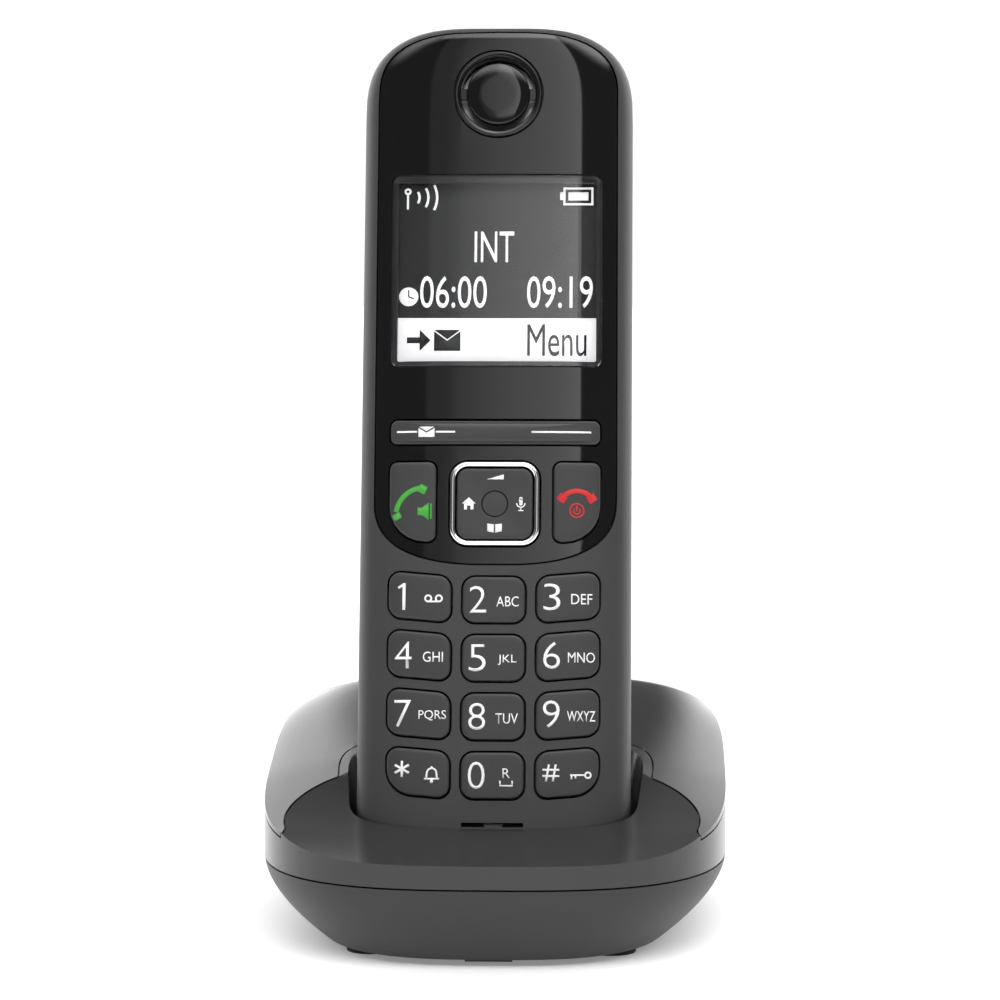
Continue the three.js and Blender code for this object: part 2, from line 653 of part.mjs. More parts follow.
const cavityLength = cavityHigh - cavityLow;
const trayCavity = solidOf(box(cavityWidth, cavityLength, FAR, 0, cavityY, trayTop - FAR / 2));
const trayBlock = solidOf(box(
  cavityWidth + 2 * TRAY_WALL, cavityLength + 2 * TRAY_WALL, FAR, 0, cavityY, trayTop + TRAY_WALL - FAR / 2,
)).intersect(underSkin);
const coverRecess = coverPrism(GAP).subtract(pillow(ledgeDepth));
let rearShell = body.subtract(rearCavity).add(ledge).add(trayBlock);
for (const side of [-1, 1]) {
  const well = disc(SCREW_HEAD_RADIUS + GAP + BOSS_WALL, -FAR, -GAP, side * SCREW_X, SCREW_Y);
  rearShell = rearShell.add(solidOf(well).intersect(underSkin));
}
rearShell = rearShell.intersect(lowerHalf).subtract(coverRecess).subtract(trayCavity);
for (const side of [-1, 1]) {
  const seat = disc(SCREW_HEAD_RADIUS + GAP, -FAR, SCREW_SEAT, side * SCREW_X, SCREW_Y);
  const bore = disc(SCREW_RADIUS + GAP, -FAR, FAR, side * SCREW_X, SCREW_Y, 12);
  rearShell = rearShell.subtract(solidOf(seat)).subtract(solidOf(bore));
}
for (let i = -1; i <= 1; i += 1) {
  const slotLength = RINGER_SLOT_LENGTH - 2 * Math.abs(i);
  const slotY = RINGER_Y + RINGER_SLOT_PITCH * i;
  const slot = box(slotLength, RINGER_SLOT_WIDTH, FAR, 0, slotY, ringerHigh - FAR / 2);
  rearShell = rearShell.subtract(solidOf(slot));
}
for (const side of [-1, 1]) {
  const hole = box(PAD_WIDTH + 2 * GAP, 8, PAD_DEPTH + 2 * GAP, side * CONTACT_X, 0, CONTACT_DROP_Z);
  rearShell = rearShell.subtract(solidOf(hole));
}
named(handset, 'handset_rear_shell', rearShell, 'matteShell');

const batteryCover = body.intersect(coverPrism(0)).subtract(pillow(BATTERY_COVER_THICKNESS));
named(handset, 'battery_cover', batteryCover, 'matteShell');

for (const side of [-1, 1]) {
  const sideName = side < 0 ? 'left' : 'right';
  const cellProfile = [
    [0, 0], [CELL_RADIUS - CELL_EDGE, 0], [CELL_RADIUS, CELL_EDGE],
    [CELL_RADIUS, CELL_LENGTH - CELL_NECK - CELL_EDGE], [CELL_RADIUS - CELL_EDGE, CELL_LENGTH - CELL_NECK],
    [CELL_NECK_RADIUS, CELL_LENGTH - CELL_NECK], [CELL_NECK_RADIUS, CELL_LENGTH], [0, CELL_LENGTH],
  ].map(([x, y]) => new THREE.Vector2(x, y));
  const cell = new THREE.LatheGeometry(cellProfile, 14);
  if (side > 0) cell.rotateX(Math.PI).translate(0, CELL_LENGTH, 0);
  cell.translate((side * CELL_SPACING) / 2, CELL_LOW, CELL_Z);
  named(handset, `battery_cell_${sideName}`, solidOf(cell), 'cell');

  const plateX = (side * CELL_SPACING) / 2;
  const plateY = CELL_LOW - CONTACT_ROOM + GAP + PLATE_THICKNESS / 2;
  const plate = box(PLATE_SIZE, PLATE_THICKNESS, PLATE_SIZE, plateX, plateY, CELL_Z);
  const nib = new THREE.CylinderGeometry(NIB_RADIUS, 2 * NIB_RADIUS, 2 * PLATE_THICKNESS, 14)
    .translate(plateX, plateY + PLATE_THICKNESS, CELL_Z);
  named(handset, `battery_contact_${sideName}`, solidOf(plate).add(solidOf(nib)), 'metal');

  const pad = box(PAD_WIDTH, PAD_THICKNESS, PAD_DEPTH, side * CONTACT_X, PAD_LOW + PAD_THICKNESS / 2, CONTACT_DROP_Z);
  named(handset, `charge_pad_${sideName}`, pad, 'gold');

  const screwProfile = [
    [0, 0], [SCREW_HEAD_RADIUS, 0], [SCREW_HEAD_RADIUS, SCREW_HEAD_HEIGHT], [SCREW_RADIUS, SCREW_HEAD_HEIGHT],
    [SCREW_RADIUS, SCREW_HEAD_HEIGHT + SCREW_SHANK], [0, SCREW_HEAD_HEIGHT + SCREW_SHANK + SCREW_TIP],
  ].map(([x, y]) => new THREE.Vector2(x, y));
  const screw = new THREE.LatheGeometry(screwProfile, 10).rotateX(Math.PI / 2)
    .translate(side * SCREW_X, SCREW_Y, SCREW_SEAT - GAP - SCREW_HEAD_HEIGHT);
  named(handset, `handset_screw_${sideName}`, solidOf(screw), 'metal');
}
const linkY = CELL_LOW + CELL_LENGTH + CONTACT_ROOM - GAP - PLATE_THICKNESS / 2;
const linkPlate = box(CELL_SPACING + PLATE_SIZE, PLATE_THICKNESS, PLATE_SIZE, 0, linkY, CELL_Z);
named(handset, 'battery_link_plate', linkPlate, 'metal');

// ======================= base =======================
const base = new THREE.Group();

function baseOutline() {
  const points = [];
  for (let i = 0; i < OUTLINE_POINTS; i += 1) {
    const angle = (2 * Math.PI * i) / OUTLINE_POINTS;
    const power = 2 / (Math.sin(angle) < 0 ? FRONT_SQUARENESS : BACK_SQUARENESS);
    points.push(new THREE.Vector2(
      (BASE_WIDTH / 2) * signedPower(Math.cos(angle), power),
      (BASE_DEPTH / 2) * signedPower(Math.sin(angle), power),
    ));
  }
  return new THREE.Shape(points);
}

// Height of the side band, of the crowned top and of the facet.
const bandTop = (y) => SHOULDER_Z + BAND_RISE * (Math.max(0, y - SHOULDER_Y) / CLIMB_LENGTH) ** CLIMB_CURVE;

function coverThickness(y) {
  const along = THREE.MathUtils.clamp((y - SHOULDER_Y) / TIP_LENGTH, 0, 1);
  return THREE.MathUtils.lerp(COVER_TIP, COVER_THICKNESS, along);
}

function crownTop(y, ring) {
  const along = THREE.MathUtils.clamp((y + BASE_DEPTH / 2) / BASE_DEPTH, 0, 1);
  const crown = THREE.MathUtils.lerp(CROWN_FRONT, CROWN_BACK, along);
  const curve = THREE.MathUtils.lerp(CROWN_CURVE_FRONT, CROWN_CURVE_BACK, along * along);
  return bandTop(y) + coverThickness(y) + crown * (1 - ring ** curve);
}

function facetTop(x, y) {
  const back = Math.max(0, y - CREASE_Y);
  const scoop = FACET_SCOOP * Math.min(1, back / SCOOP_LENGTH) * x ** 2;
  return CREASE_Z + FACET_SLOPE * back + FACET_CURVE * back ** 3 + scoop;
}

const CROWN_RINGS = [1, 0.98, 0.93, 0.83, 0.65, 0.35];

// The upper body from `foot` to the crown, its walls drawn in by `inset`. Its top is lowered by
// `drop`, and by the cover's thickness where `bare`.
function crownSolid(inset, drop, foot, bare = false) {
  const shrinkX = 1 - inset / (BASE_WIDTH / 2);
  const shrinkY = 1 - inset / (BASE_DEPTH / 2);
  return solidOf(stack(baseOutline(), CROWN_RINGS.length, (x, y, level) => {
    if (level === 0) return [x * shrinkX, y * shrinkY, foot];
    const ring = CROWN_RINGS[level - 1];
    const newY = y * shrinkY * ring;
    const lowered = drop + (bare ? coverThickness(newY) : 0);
    return [x * shrinkX * ring, newY, crownTop(newY, ring) - lowered];
  }));
}

// Everything below the facet.
function facetBlock(drop) {
  const spans = 14;
  const levels = 20;
  const back = BASE_DEPTH / 2 - 24;
  const shape = new THREE.Shape();
  shape.moveTo(-BASE_DEPTH, -BASE_DEPTH);
  shape.lineTo(BASE_DEPTH, -BASE_DEPTH);
  shape.lineTo(BASE_DEPTH, FAR);
  shape.lineTo(back, FAR);
  for (let i = 0; i <= spans; i += 1) {
    shape.lineTo(THREE.MathUtils.lerp(back, CREASE_Y, i / spans), 0);
  }
  shape.lineTo(-BASE_DEPTH, 0);
  return stack(shape, levels, (y, z, level) => {
    const x = THREE.MathUtils.lerp(BASE_WIDTH, -BASE_WIDTH, level / levels);
    return [-x, y, z === 0 ? facetTop(x, y) - drop : z];
  });
}

// Half-width of the facet at y: where the crown and the facet are equally high.
function facetHalfWidth(y) {
  const squareness = y < 0 ? FRONT_SQUARENESS : BACK_SQUARENESS;
  const alongPart = Math.abs(y / (BASE_DEPTH / 2)) ** squareness;
  const edge = (BASE_WIDTH / 2) * Math.max(0, 1 - alongPart) ** (1 / squareness);
  const rise = (x) => {
    const ring = ((x / (BASE_WIDTH / 2)) ** squareness + alongPart) ** (1 / squareness);
    return crownTop(y, Math.min(1, ring)) - facetTop(x, y);
  };
  if (rise(edge) > 0) return BASE_WIDTH;
  let low = 0;
  let high = edge;
  for (let i = 0; i < 30; i += 1) {
    const middle = (low + high) / 2;
    if (rise(middle) > 0) low = middle;
    else high = middle;
  }
  return low;
}

function facetPlan(grow) {
  const right = [];
  const spans = 24;
  const back = FACET_BACK_Y;
  for (let i = 0; i <= spans; i += 1) {
    const y = THREE.MathUtils.lerp(-BASE_DEPTH / 2, back, i / spans);
    right.push([facetHalfWidth(y) + grow, y + grow]);
  }
  const left = right.map(([x, y]) => [-x, y]).reverse();
  const corner = BASE_WIDTH;
  const front = [[-corner, -BASE_DEPTH], [corner, -BASE_DEPTH]];
  const points = [...front, ...right, ...left].map(([x, y]) => new THREE.Vector2(x, y));
  return solidOf(prism(new THREE.Shape(points), 0, FAR));
}

// A tube round the handset's cross-section, `grow` larger and flared above the bend.
function sectionTube(grow, low) {
  const heights = [low, WELL_BEND, WELL_TOP];
  const rear = rearDepth(FOOT_END + BULGE_START);
  const geometry = stack(sectionShape(), heights.length - 1, (x, z, level) => {
    const flare = level === heights.length - 1 ? (WELL_FLARE * (WELL_TOP - WELL_BEND)) / FOOT_END : 0;
    const depth = z > 0 ? FRONT_DEPTH + grow : rear + grow + flare;
    return [-x * (WIDTH / 2 + grow + flare), heights[level], z * depth];
  });
  handset.updateMatrix();
  return solidOf(geometry.applyMatrix4(handset.matrix));
}

const pocket = sectionTube(WELL_CLEARANCE, WELL_FLOOR);
const wellOuter = sectionTube(WELL_CLEARANCE + WELL_WALL, WELL_FLOOR - WELL_WALL);
const wellRoom = sectionTube(WELL_CLEARANCE + WELL_WALL + GAP, WELL_FLOOR - WELL_WALL);

const partingTop = PARTING_Z + GAP / 2;
const facetLimit = solidOf(facetBlock(0));
const envelope = crownSolid(0, 0, 0).intersect(facetLimit);
const upperInner = crownSolid(BASE_WALL, GAP + BASE_WALL, -1, true).intersect(solidOf(facetBlock(BASE_WALL)));
const aboveParting = solidOf(box(FAR, FAR, FAR, 0, 0, partingTop + FAR / 2));
const coverRoom = aboveParting.subtract(crownSolid(-1, GAP, 0, true)).subtract(facetPlan(-GAP)).subtract(wellOuter);
const rearOpening = box(PAGING_WIDTH + 2 * GAP, 8, PAGING_HEIGHT + 2 * GAP, 0, BASE_DEPTH / 2, PAGING_Z);

const screwBossRadius = BASE_SCREW_RADIUS + GAP + BOSS_WALL;
const boardTop = BASE_PCB_Z + PCB_THICKNESS;
const boreTop = FLOOR_Z + BASE_SCREW_LENGTH + 2;
let upperShell = aboveParting.subtract(upperInner).add(wellOuter);
for (const side of [-1, 1]) {
  const boss = disc(screwBossRadius, FLOOR_Z + BASE_FLOOR + GAP, FAR, side * BASE_SCREW_X, BASE_SCREW_Y, 12);
  upperShell = upperShell.add(solidOf(boss));
}
upperShell = upperShell.intersect(envelope).subtract(coverRoom).subtract(pocket).subtract(solidOf(rearOpening));
for (const side of [-1, 1]) {
  const bore = disc(BASE_SCREW_RADIUS + GAP, 0, boreTop, side * BASE_SCREW_X, BASE_SCREW_Y, 12);
  upperShell = upperShell.subtract(solidOf(bore));
  const slot = box(
    CONTACT_WIDTH + 2 * GAP, 6, CONTACT_DEPTH + 2 * GAP, side * CONTACT_X, -2, CONTACT_DROP_Z,
  ).applyMatrix4(handset.matrix);
  upperShell = upperShell.subtract(solidOf(slot));
}
named(base, 'base_upper_shell', upperShell, 'matteShell');

const frontLimit = solidOf(box(FAR, FAR, FAR, 0, SHOULDER_Y + FAR / 2, 0));
const glossCover = crownSolid(0, 0, partingTop).subtract(crownSolid(-1, 0, 0, true))
  .subtract(facetPlan(0)).subtract(wellRoom).intersect(frontLimit);
named(base, 'base_gloss_cover', glossCover, 'glossCover');

// Lower shell: a bowl with a flat floor.
const BOWL_LEVELS = [0, 0.1, 0.3, 0.6, 1];
function bowl(inset, floor, top) {
  return solidOf(stack(baseOutline(), BOWL_LEVELS.length - 1, (x, y, level) => {
    const up = BOWL_LEVELS[level];
    const draw = (1 - up) ** BOWL_CURVE;
    const scaleX = 1 - (inset + BOWL_DRAW_X * draw) / (BASE_WIDTH / 2);
    const scaleY = 1 - (inset + BOWL_DRAW_Y * draw) / (BASE_DEPTH / 2);
    return [x * scaleX, y * scaleY, THREE.MathUtils.lerp(floor, top, up)];
  }));
}
const bowlTop = PARTING_Z - GAP / 2;
const ribTop = RIB_WIDTH / 2;
const ribFoot = ribTop - RIB_DEPTH / 2;
const ribShape = new THREE.Shape([
  new THREE.Vector2(-ribTop, 0), new THREE.Vector2(ribTop, 0),
  new THREE.Vector2(ribFoot, -RIB_DEPTH), new THREE.Vector2(-ribFoot, -RIB_DEPTH),
]);
const rib = prism(ribShape, -RIB_DEPTH, RIB_DEPTH).rotateX(Math.PI / 2)
  .translate(0, BOWL_DRAW_Y + 3 - BASE_DEPTH / 2, FLOOR_Z + GAP);
let lowerShell = bowl(0, FLOOR_Z, bowlTop).add(solidOf(rib))
  .subtract(bowl(BASE_WALL, FLOOR_Z + BASE_FLOOR, bowlTop + GAP));
const feet = [
  ['foot_front_left', -FOOT_X, FOOT_FRONT_Y], ['foot_front_right', FOOT_X, FOOT_FRONT_Y],
  ['foot_back_left', -FOOT_X, FOOT_BACK_Y], ['foot_back_right', FOOT_X, FOOT_BACK_Y],
];
for (const [, x, y] of feet) {
  lowerShell = lowerShell.subtract(solidOf(disc(FOOT_RADIUS + GAP, 0, FLOOR_Z + FOOT_RECESS, x, y)));
}
const headSeat = FLOOR_Z + BASE_SCREW_SINK;
for (const side of [-1, 1]) {
  const x = side * BASE_SCREW_X;
  const seat = disc(BASE_SCREW_HEAD + GAP, 0, headSeat, x, BASE_SCREW_Y, 12);
  const bore = disc(BASE_SCREW_RADIUS + GAP, 0, FAR, x, BASE_SCREW_Y, 12);
  lowerShell = lowerShell.subtract(solidOf(seat)).subtract(solidOf(bore));
  const postX = side * (BOARD_WIDTH / 2 - 2 * POST_RADIUS);
  const post = disc(POST_RADIUS, FLOOR_Z + 1, BASE_PCB_Z - GAP, postX, BOARD_LOW + 2 * POST_RADIUS, 14);
  lowerShell = lowerShell.add(solidOf(post));
}
const sockets = [
  ['power_socket', POWER_X, POWER_WIDTH, POWER_HEIGHT, POWER_DEPTH],
  ['line_socket', LINE_X, LINE_WIDTH, LINE_HEIGHT, LINE_DEPTH],
];
for (const [name, x, width, height, depth] of sockets) {
  const cutDepth = 2 * (BASE_DEPTH / 2 - SOCKET_Y + depth + GAP);
  const cutHeight = PARTING_Z - SOCKET_Z + GAP;     // open at the top, where the upper shell closes it
  const cut = box(width + 2 * GAP, cutDepth, cutHeight, x, BASE_DEPTH / 2, SOCKET_Z - GAP + cutHeight / 2);
  lowerShell = lowerShell.subtract(solidOf(cut));
  const shell = box(width, depth, height, x, SOCKET_Y - depth / 2, SOCKET_Z + height / 2);
  const mouth = box(
    width - 2 * SOCKET_WALL, depth, height - 2 * SOCKET_WALL, x, SOCKET_Y - depth / 2 + SOCKET_WALL,
    SOCKET_Z + height / 2,
  );
  named(base, name, solidOf(shell).subtract(solidOf(mouth)), 'socket');
}
named(base, 'base_lower_shell', lowerShell, 'matteShell');

for (const [name, x, y] of feet) {
  named(base, name, disc(FOOT_RADIUS, 0, FLOOR_Z + FOOT_RECESS - GAP, x, y), 'rubber');
}

for (const side of [-1, 1]) {
  const sideName = side < 0 ? 'left' : 'right';
  const headHeight = BASE_SCREW_SINK - 2 * GAP;
  const profile = [
    [0, 0], [BASE_SCREW_HEAD, 0], [BASE_SCREW_HEAD, headHeight], [BASE_SCREW_RADIUS, headHeight],
    [BASE_SCREW_RADIUS, BASE_SCREW_LENGTH - SCREW_TIP], [0, BASE_SCREW_LENGTH],
  ].map(([x, y]) => new THREE.Vector2(x, y));
  const screw = new THREE.LatheGeometry(profile, 10).rotateX(Math.PI / 2)
    .translate(side * BASE_SCREW_X, BASE_SCREW_Y, FLOOR_Z + GAP);
  named(base, `base_screw_${sideName}`, solidOf(screw), 'metal');

  // Sprung charging contact: a stud through the pocket's floor with a collar under it.
  const studTop = PAD_LOW - GAP;
  const stud = box(CONTACT_WIDTH, CONTACT_LENGTH, CONTACT_DEPTH, side * CONTACT_X, studTop - CONTACT_LENGTH / 2,
    CONTACT_DROP_Z);
  const collarY = WELL_FLOOR - WELL_WALL - GAP - 0.4;
  const collar = box(CONTACT_WIDTH + 2, 0.8, CONTACT_DEPTH + 2, side * CONTACT_X, collarY, CONTACT_DROP_Z);
  const contact = solidOf(stud).add(solidOf(collar));
  const contactGeometry = geometryOf(contact).applyMatrix4(handset.matrix);
  named(base, `charge_contact_${sideName}`, contactGeometry, 'gold');
}

const boardDepth = BOARD_HIGH - BOARD_LOW;
const boardY = (BOARD_LOW + BOARD_HIGH) / 2;
const baseBoard = box(BOARD_WIDTH, boardDepth, PCB_THICKNESS, 0, boardY, BASE_PCB_Z + PCB_THICKNESS / 2);
named(base, 'base_circuit_board', baseBoard, 'board');
const shieldZ = boardTop + GAP + SHIELD_HEIGHT / 2;
const baseShield = box(BASE_SHIELD_WIDTH, BASE_SHIELD_DEPTH, SHIELD_HEIGHT, 0, boardY, shieldZ);
named(base, 'base_radio_shield', baseShield, 'metal');

const pagingShape = roundedRect(PAGING_WIDTH, PAGING_HEIGHT, PAGING_CORNER);
const pagingKey = prism(pagingShape, 0, PAGING_DEPTH).rotateX(Math.PI / 2)
  .translate(0, BASE_DEPTH / 2, PAGING_Z);
named(base, 'paging_key', pagingKey, 'key');

const phone = new THREE.Group();
phone.add(base, handset);

export default phone;
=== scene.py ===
# %% [markdown]
# # A cordless phone in its base
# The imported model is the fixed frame: it says where every piece sits. This script makes the
# fine skins, the printing and the finishes round it, and lights them in a small studio.

import math

import bmesh
import bpy
from mathutils import Matrix, Vector


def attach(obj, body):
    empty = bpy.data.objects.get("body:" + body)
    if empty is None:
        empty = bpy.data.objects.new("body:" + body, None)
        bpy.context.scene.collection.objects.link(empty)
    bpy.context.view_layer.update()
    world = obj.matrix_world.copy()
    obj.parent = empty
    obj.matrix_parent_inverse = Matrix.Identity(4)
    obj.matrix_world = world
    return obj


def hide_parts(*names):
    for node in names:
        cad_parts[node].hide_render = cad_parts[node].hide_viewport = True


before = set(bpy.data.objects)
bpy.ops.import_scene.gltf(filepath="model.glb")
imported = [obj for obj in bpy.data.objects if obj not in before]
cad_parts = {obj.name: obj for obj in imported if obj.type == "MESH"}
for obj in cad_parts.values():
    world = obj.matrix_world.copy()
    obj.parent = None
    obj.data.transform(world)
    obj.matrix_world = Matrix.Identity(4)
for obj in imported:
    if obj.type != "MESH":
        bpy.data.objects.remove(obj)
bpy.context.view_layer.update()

# %% [markdown]
# Shapes are drawn in millimetres, the handset's in a frame of its own: x across, y from its
# foot to its earpiece, z out of its key face, with z = 0 on the joint between its half shells.
# One matrix puts such a shape into the base and turns millimetres into metres.

# %% Frames
MM = 0.001
LEAN = math.radians(14)
FOOT = Vector((0, -17.5, 11.9))
BASE = Matrix.Scale(MM, 4)
HANDSET = BASE @ Matrix.Translation(FOOT) @ Matrix.Rotation(math.pi / 2 - LEAN, 4, "X")


def reach(node, matrix=HANDSET):
    """Lowest and highest corner of a node in millimetres, in the handset's or the base's frame."""
    back = matrix.inverted()
    corners = [back @ v.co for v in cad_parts[node].data.vertices]
    low = Vector(min(c[axis] for c in corners) for axis in range(3))
    high = Vector(max(c[axis] for c in corners) for axis in range(3))
    return low, high


shell_high = reach("handset_front_shell")[1]
LENGTH = shell_high.y
HALF_WIDTH = shell_high.x
FRONT_DEPTH = 9.7
base_high = reach("base_upper_shell", BASE)[1]
BASE_HALF_WIDTH = base_high.x
BASE_HALF_DEPTH = base_high.y
print("handset", round(LENGTH, 2), "x", round(2 * HALF_WIDTH, 2), "mm")
print("base", round(2 * BASE_HALF_WIDTH, 2), "x", round(2 * BASE_HALF_DEPTH, 2), "mm")

# %% [markdown]
# Most pieces here are lofts: a ring of corners that is extruded from level to level, each
# corner moved to where a formula wants it. The operators make the faces, and the formula only
# says where a corner goes. A flat ring of points extruded once is a prism.

# %% Lofts, prisms and blocks


def loft(segments, levels, place, closed=False):
    """A skin drawn through `levels` rings; place(corner, level) says where a corner goes."""
    bm = bmesh.new()
    number = bm.verts.layers.int.new("corner")
    bmesh.ops.create_circle(bm, segments=segments, radius=1, cap_ends=not closed)
    for v in bm.verts:
        turn = math.atan2(v.co.y, v.co.x) / math.tau
        v[number] = round(turn * segments) % segments
        v.co = place(v[number], 0)
    first = ring = list(bm.edges)
    for level in range(1, levels):
        made = bmesh.ops.extrude_edge_only(bm, edges=ring)["geom"]
        fresh = {g for g in made if isinstance(g, bmesh.types.BMVert)}
        ring = [g for g in made if isinstance(g, bmesh.types.BMEdge) and fresh.issuperset(g.verts)]
        for v in fresh:
            v.co = place(v[number], level)
    if closed:
        bmesh.ops.bridge_loops(bm, edges=first + ring)
    else:
        bmesh.ops.contextual_create(bm, geom=ring)
    bmesh.ops.recalc_face_normals(bm, faces=bm.faces)
    return bm


def rounded(width, height, radii, steps=6):
    """Corners of a rounded rectangle about the origin, from the lower left corner round."""
    radii = radii if isinstance(radii, (list, tuple)) else [radii] * 4
    points = []
    for quarter, radius in enumerate(radii):
        radius = max(radius, 0.05)
        sign_x = -1 if quarter in (0, 3) else 1
        sign_y = -1 if quarter in (0, 1) else 1
        middle_x = sign_x * (width / 2 - radius)
        middle_y = sign_y * (height / 2 - radius)
        for i in range(steps + 1):
            angle = math.pi + (quarter + i / steps) * math.pi / 2
            points.append((middle_x + radius * math.cos(angle), middle_y + radius * math.sin(angle)))
    return points


def prism(points, low, high, x=0, y=0):
    return loft(len(points), 2, lambda i, level: (points[i][0] + x, points[i][1] + y, (low, high)[level]))


def block(low, high):
    bm = bmesh.new()
    bmesh.ops.create_cube(bm, size=1)
    size = Vector(high) - Vector(low)
    bmesh.ops.scale(bm, vec=size, verts=bm.verts)
    bmesh.ops.translate(bm, vec=Vector(low) + size / 2, verts=bm.verts)
    return bm


def disc(radius, low, high, x=0, y=0, segments=48):
    turn = math.tau / segments
    points = [(radius * math.cos(turn * i), radius * math.sin(turn * i)) for i in range(segments)]
    return prism(points, low, high, x, y)


def together(*shapes):
    """Several shapes in one mesh."""
    mesh = bpy.data.meshes.new("together")
    bm = bmesh.new()
    for shape in shapes:
        shape.to_mesh(mesh)
        bm.from_mesh(mesh)
        shape.free()
    bpy.data.meshes.remove(mesh)
    return bm


# %% [markdown]
# Openings are cut with the Boolean modifier, which is applied at once, so that the finished
# mesh holds the true opening. The cutters run past the skin on both sides.

# %% Cutting


def solid(bm, name="solid"):
    mesh = bpy.data.meshes.new(name)
    bm.to_mesh(mesh)
    bm.free()
    obj = bpy.data.objects.new(name, mesh)
    bpy.context.scene.collection.objects.link(obj)
    return obj


def copy_of(obj):
    twin = bpy.data.objects.new(obj.name, obj.data.copy())
    bpy.context.scene.collection.objects.link(twin)
    return twin


def drop(obj):
    mesh = obj.data
    bpy.data.objects.remove(obj)
    bpy.data.meshes.remove(mesh)


def combine(obj, other, operation="DIFFERENCE", keep=False):
    """Cuts `other` away from obj, or keeps what they share, or joins them."""
    tool = solid(other) if isinstance(other, bmesh.types.BMesh) else other
    modifier = obj.modifiers.new("combine", "BOOLEAN")
    modifier.operation = operation
    modifier.solver = "EXACT"
    modifier.object = tool
    bpy.context.view_layer.update()
    graph = bpy.context.evaluated_depsgraph_get()
    mesh = bpy.data.meshes.new_from_object(obj.evaluated_get(graph))
    old = obj.data
    obj.modifiers.clear()
    obj.data = mesh
    bpy.data.meshes.remove(old)
    if not keep:
        drop(tool)
    return obj


# %% [markdown]
# Every finish is a small set of shader nodes: a fine grain that changes the roughness, a bump
# of the same grain and a slight cloudiness of the colour. Gloss comes from the shader itself.

# %% Finishes


def finish(name, color, roughness, metallic=0.0, grain=1800, bump=0.0, spread=0.05, cloud=0.1, **sockets):
    """A shader with a fine grain; grain is in waves per metre, bump in millimetres."""
    material = bpy.data.materials.new(name)
    material.use_nodes = True
    nodes = material.node_tree.nodes
    links = material.node_tree.links
    shader = nodes["Principled BSDF"]
    shader.inputs["Metallic"].default_value = metallic
    for socket, value in sockets.items():
        shader.inputs[socket.replace("_", " ")].default_value = value
    place = nodes.new("ShaderNodeTexCoord")
    fine = nodes.new("ShaderNodeTexNoise")
    fine.inputs["Scale"].default_value = grain
    fine.inputs["Detail"].default_value = 3
    links.new(place.outputs["Object"], fine.inputs["Vector"])
    rough = nodes.new("ShaderNodeMapRange")
    rough.inputs["To Min"].default_value = max(0, roughness - spread)
    rough.inputs["To Max"].default_value = roughness + spread
    links.new(fine.outputs["Fac"], rough.inputs["Value"])
    links.new(rough.outputs["Result"], shader.inputs["Roughness"])
    clouds = nodes.new("ShaderNodeTexNoise")
    clouds.inputs["Scale"].default_value = 60
    links.new(place.outputs["Object"], clouds.inputs["Vector"])
    tint = nodes.new("ShaderNodeMix")
    tint.data_type = "RGBA"
    tint.inputs[6].default_value = (*[c * (1 - cloud) for c in color], 1)
    tint.inputs[7].default_value = (*[min(1, c * (1 + cloud)) for c in color], 1)
    links.new(clouds.outputs["Fac"], tint.inputs[0])
    links.new(tint.outputs[2], shader.inputs["Base Color"])
    if bump:
        relief = nodes.new("ShaderNodeBump")
        relief.inputs["Distance"].default_value = bump * MM
        relief.inputs["Strength"].default_value = 1
        links.new(fine.outputs["Fac"], relief.inputs["Height"])
        links.new(relief.outputs["Normal"], shader.inputs["Normal"])
    return material


matte_plastic = finish("satin_black_plastic", (0.036, 0.036, 0.037), 0.46, grain=2600, bump=0.012)
base_plastic = finish("dark_satin_plastic", (0.023, 0.023, 0.024), 0.46, grain=2600, bump=0.012)
shell_plastic = finish("smooth_black_plastic", (0.026, 0.026, 0.027), 0.22, grain=2600, bump=0.003)
key_plastic = finish("satin_key_plastic", (0.034, 0.034, 0.035), 0.42, grain=3200, bump=0.008)
gloss_black = finish("polished_black", (0.006, 0.006, 0.0065), 0.05, grain=400, spread=0.015)
gloss_cover = finish("polished_cover", (0.02, 0.02, 0.021), 0.14, grain=900, bump=0.001, spread=0.03)
lens = finish(
    "clear_window", (0.95, 0.95, 0.96), 0.02, grain=300, spread=0.01, cloud=0.01,
    Transmission_Weight=1.0, IOR=1.45,
)
lcd_dark = finish("dark_display", (0.011, 0.0115, 0.012), 0.45, grain=5000, bump=0.001)
lcd_white = finish("lit_characters", (0.9, 0.9, 0.9), 0.5, grain=5000, cloud=0.02, Emission_Strength=0.75)
lcd_white.node_tree.nodes["Principled BSDF"].inputs["Emission Color"].default_value = (1, 1, 1, 1)
print_white = finish("white_print", (0.93, 0.93, 0.93), 0.55, grain=4000, cloud=0.03)
print_green = finish("green_print", (0.05, 0.36, 0.035), 0.5, grain=4000)
print_red = finish("red_print", (0.62, 0.012, 0.014), 0.5, grain=4000)
chrome = finish("chrome_rim", (0.86, 0.86, 0.88), 0.1, metallic=1.0, grain=500, spread=0.03, cloud=0.02)
steel = finish("sheet_steel", (0.5, 0.5, 0.52), 0.34, metallic=1.0, grain=900, bump=0.004, spread=0.08)
gold = finish("gold_plating", (0.83, 0.6, 0.24), 0.24, metallic=1.0, grain=900, bump=0.002)
board = finish("solder_resist", (0.015, 0.13, 0.045), 0.4, grain=1300, bump=0.01, cloud=0.3)
silicone = finish("grey_silicone", (0.1, 0.105, 0.11), 0.7, grain=2500, bump=0.01)
rubber = finish("foot_rubber", (0.012, 0.012, 0.012), 0.85, grain=2200, bump=0.03)
cell_jacket = finish("cell_sleeve", (0.05, 0.14, 0.26), 0.3, grain=700, cloud=0.25)
socket_plastic = finish("black_socket_plastic", (0.01, 0.01, 0.0105), 0.4, grain=2000, bump=0.01)
print(len([m for m in bpy.data.materials if m.use_nodes]), "finishes")

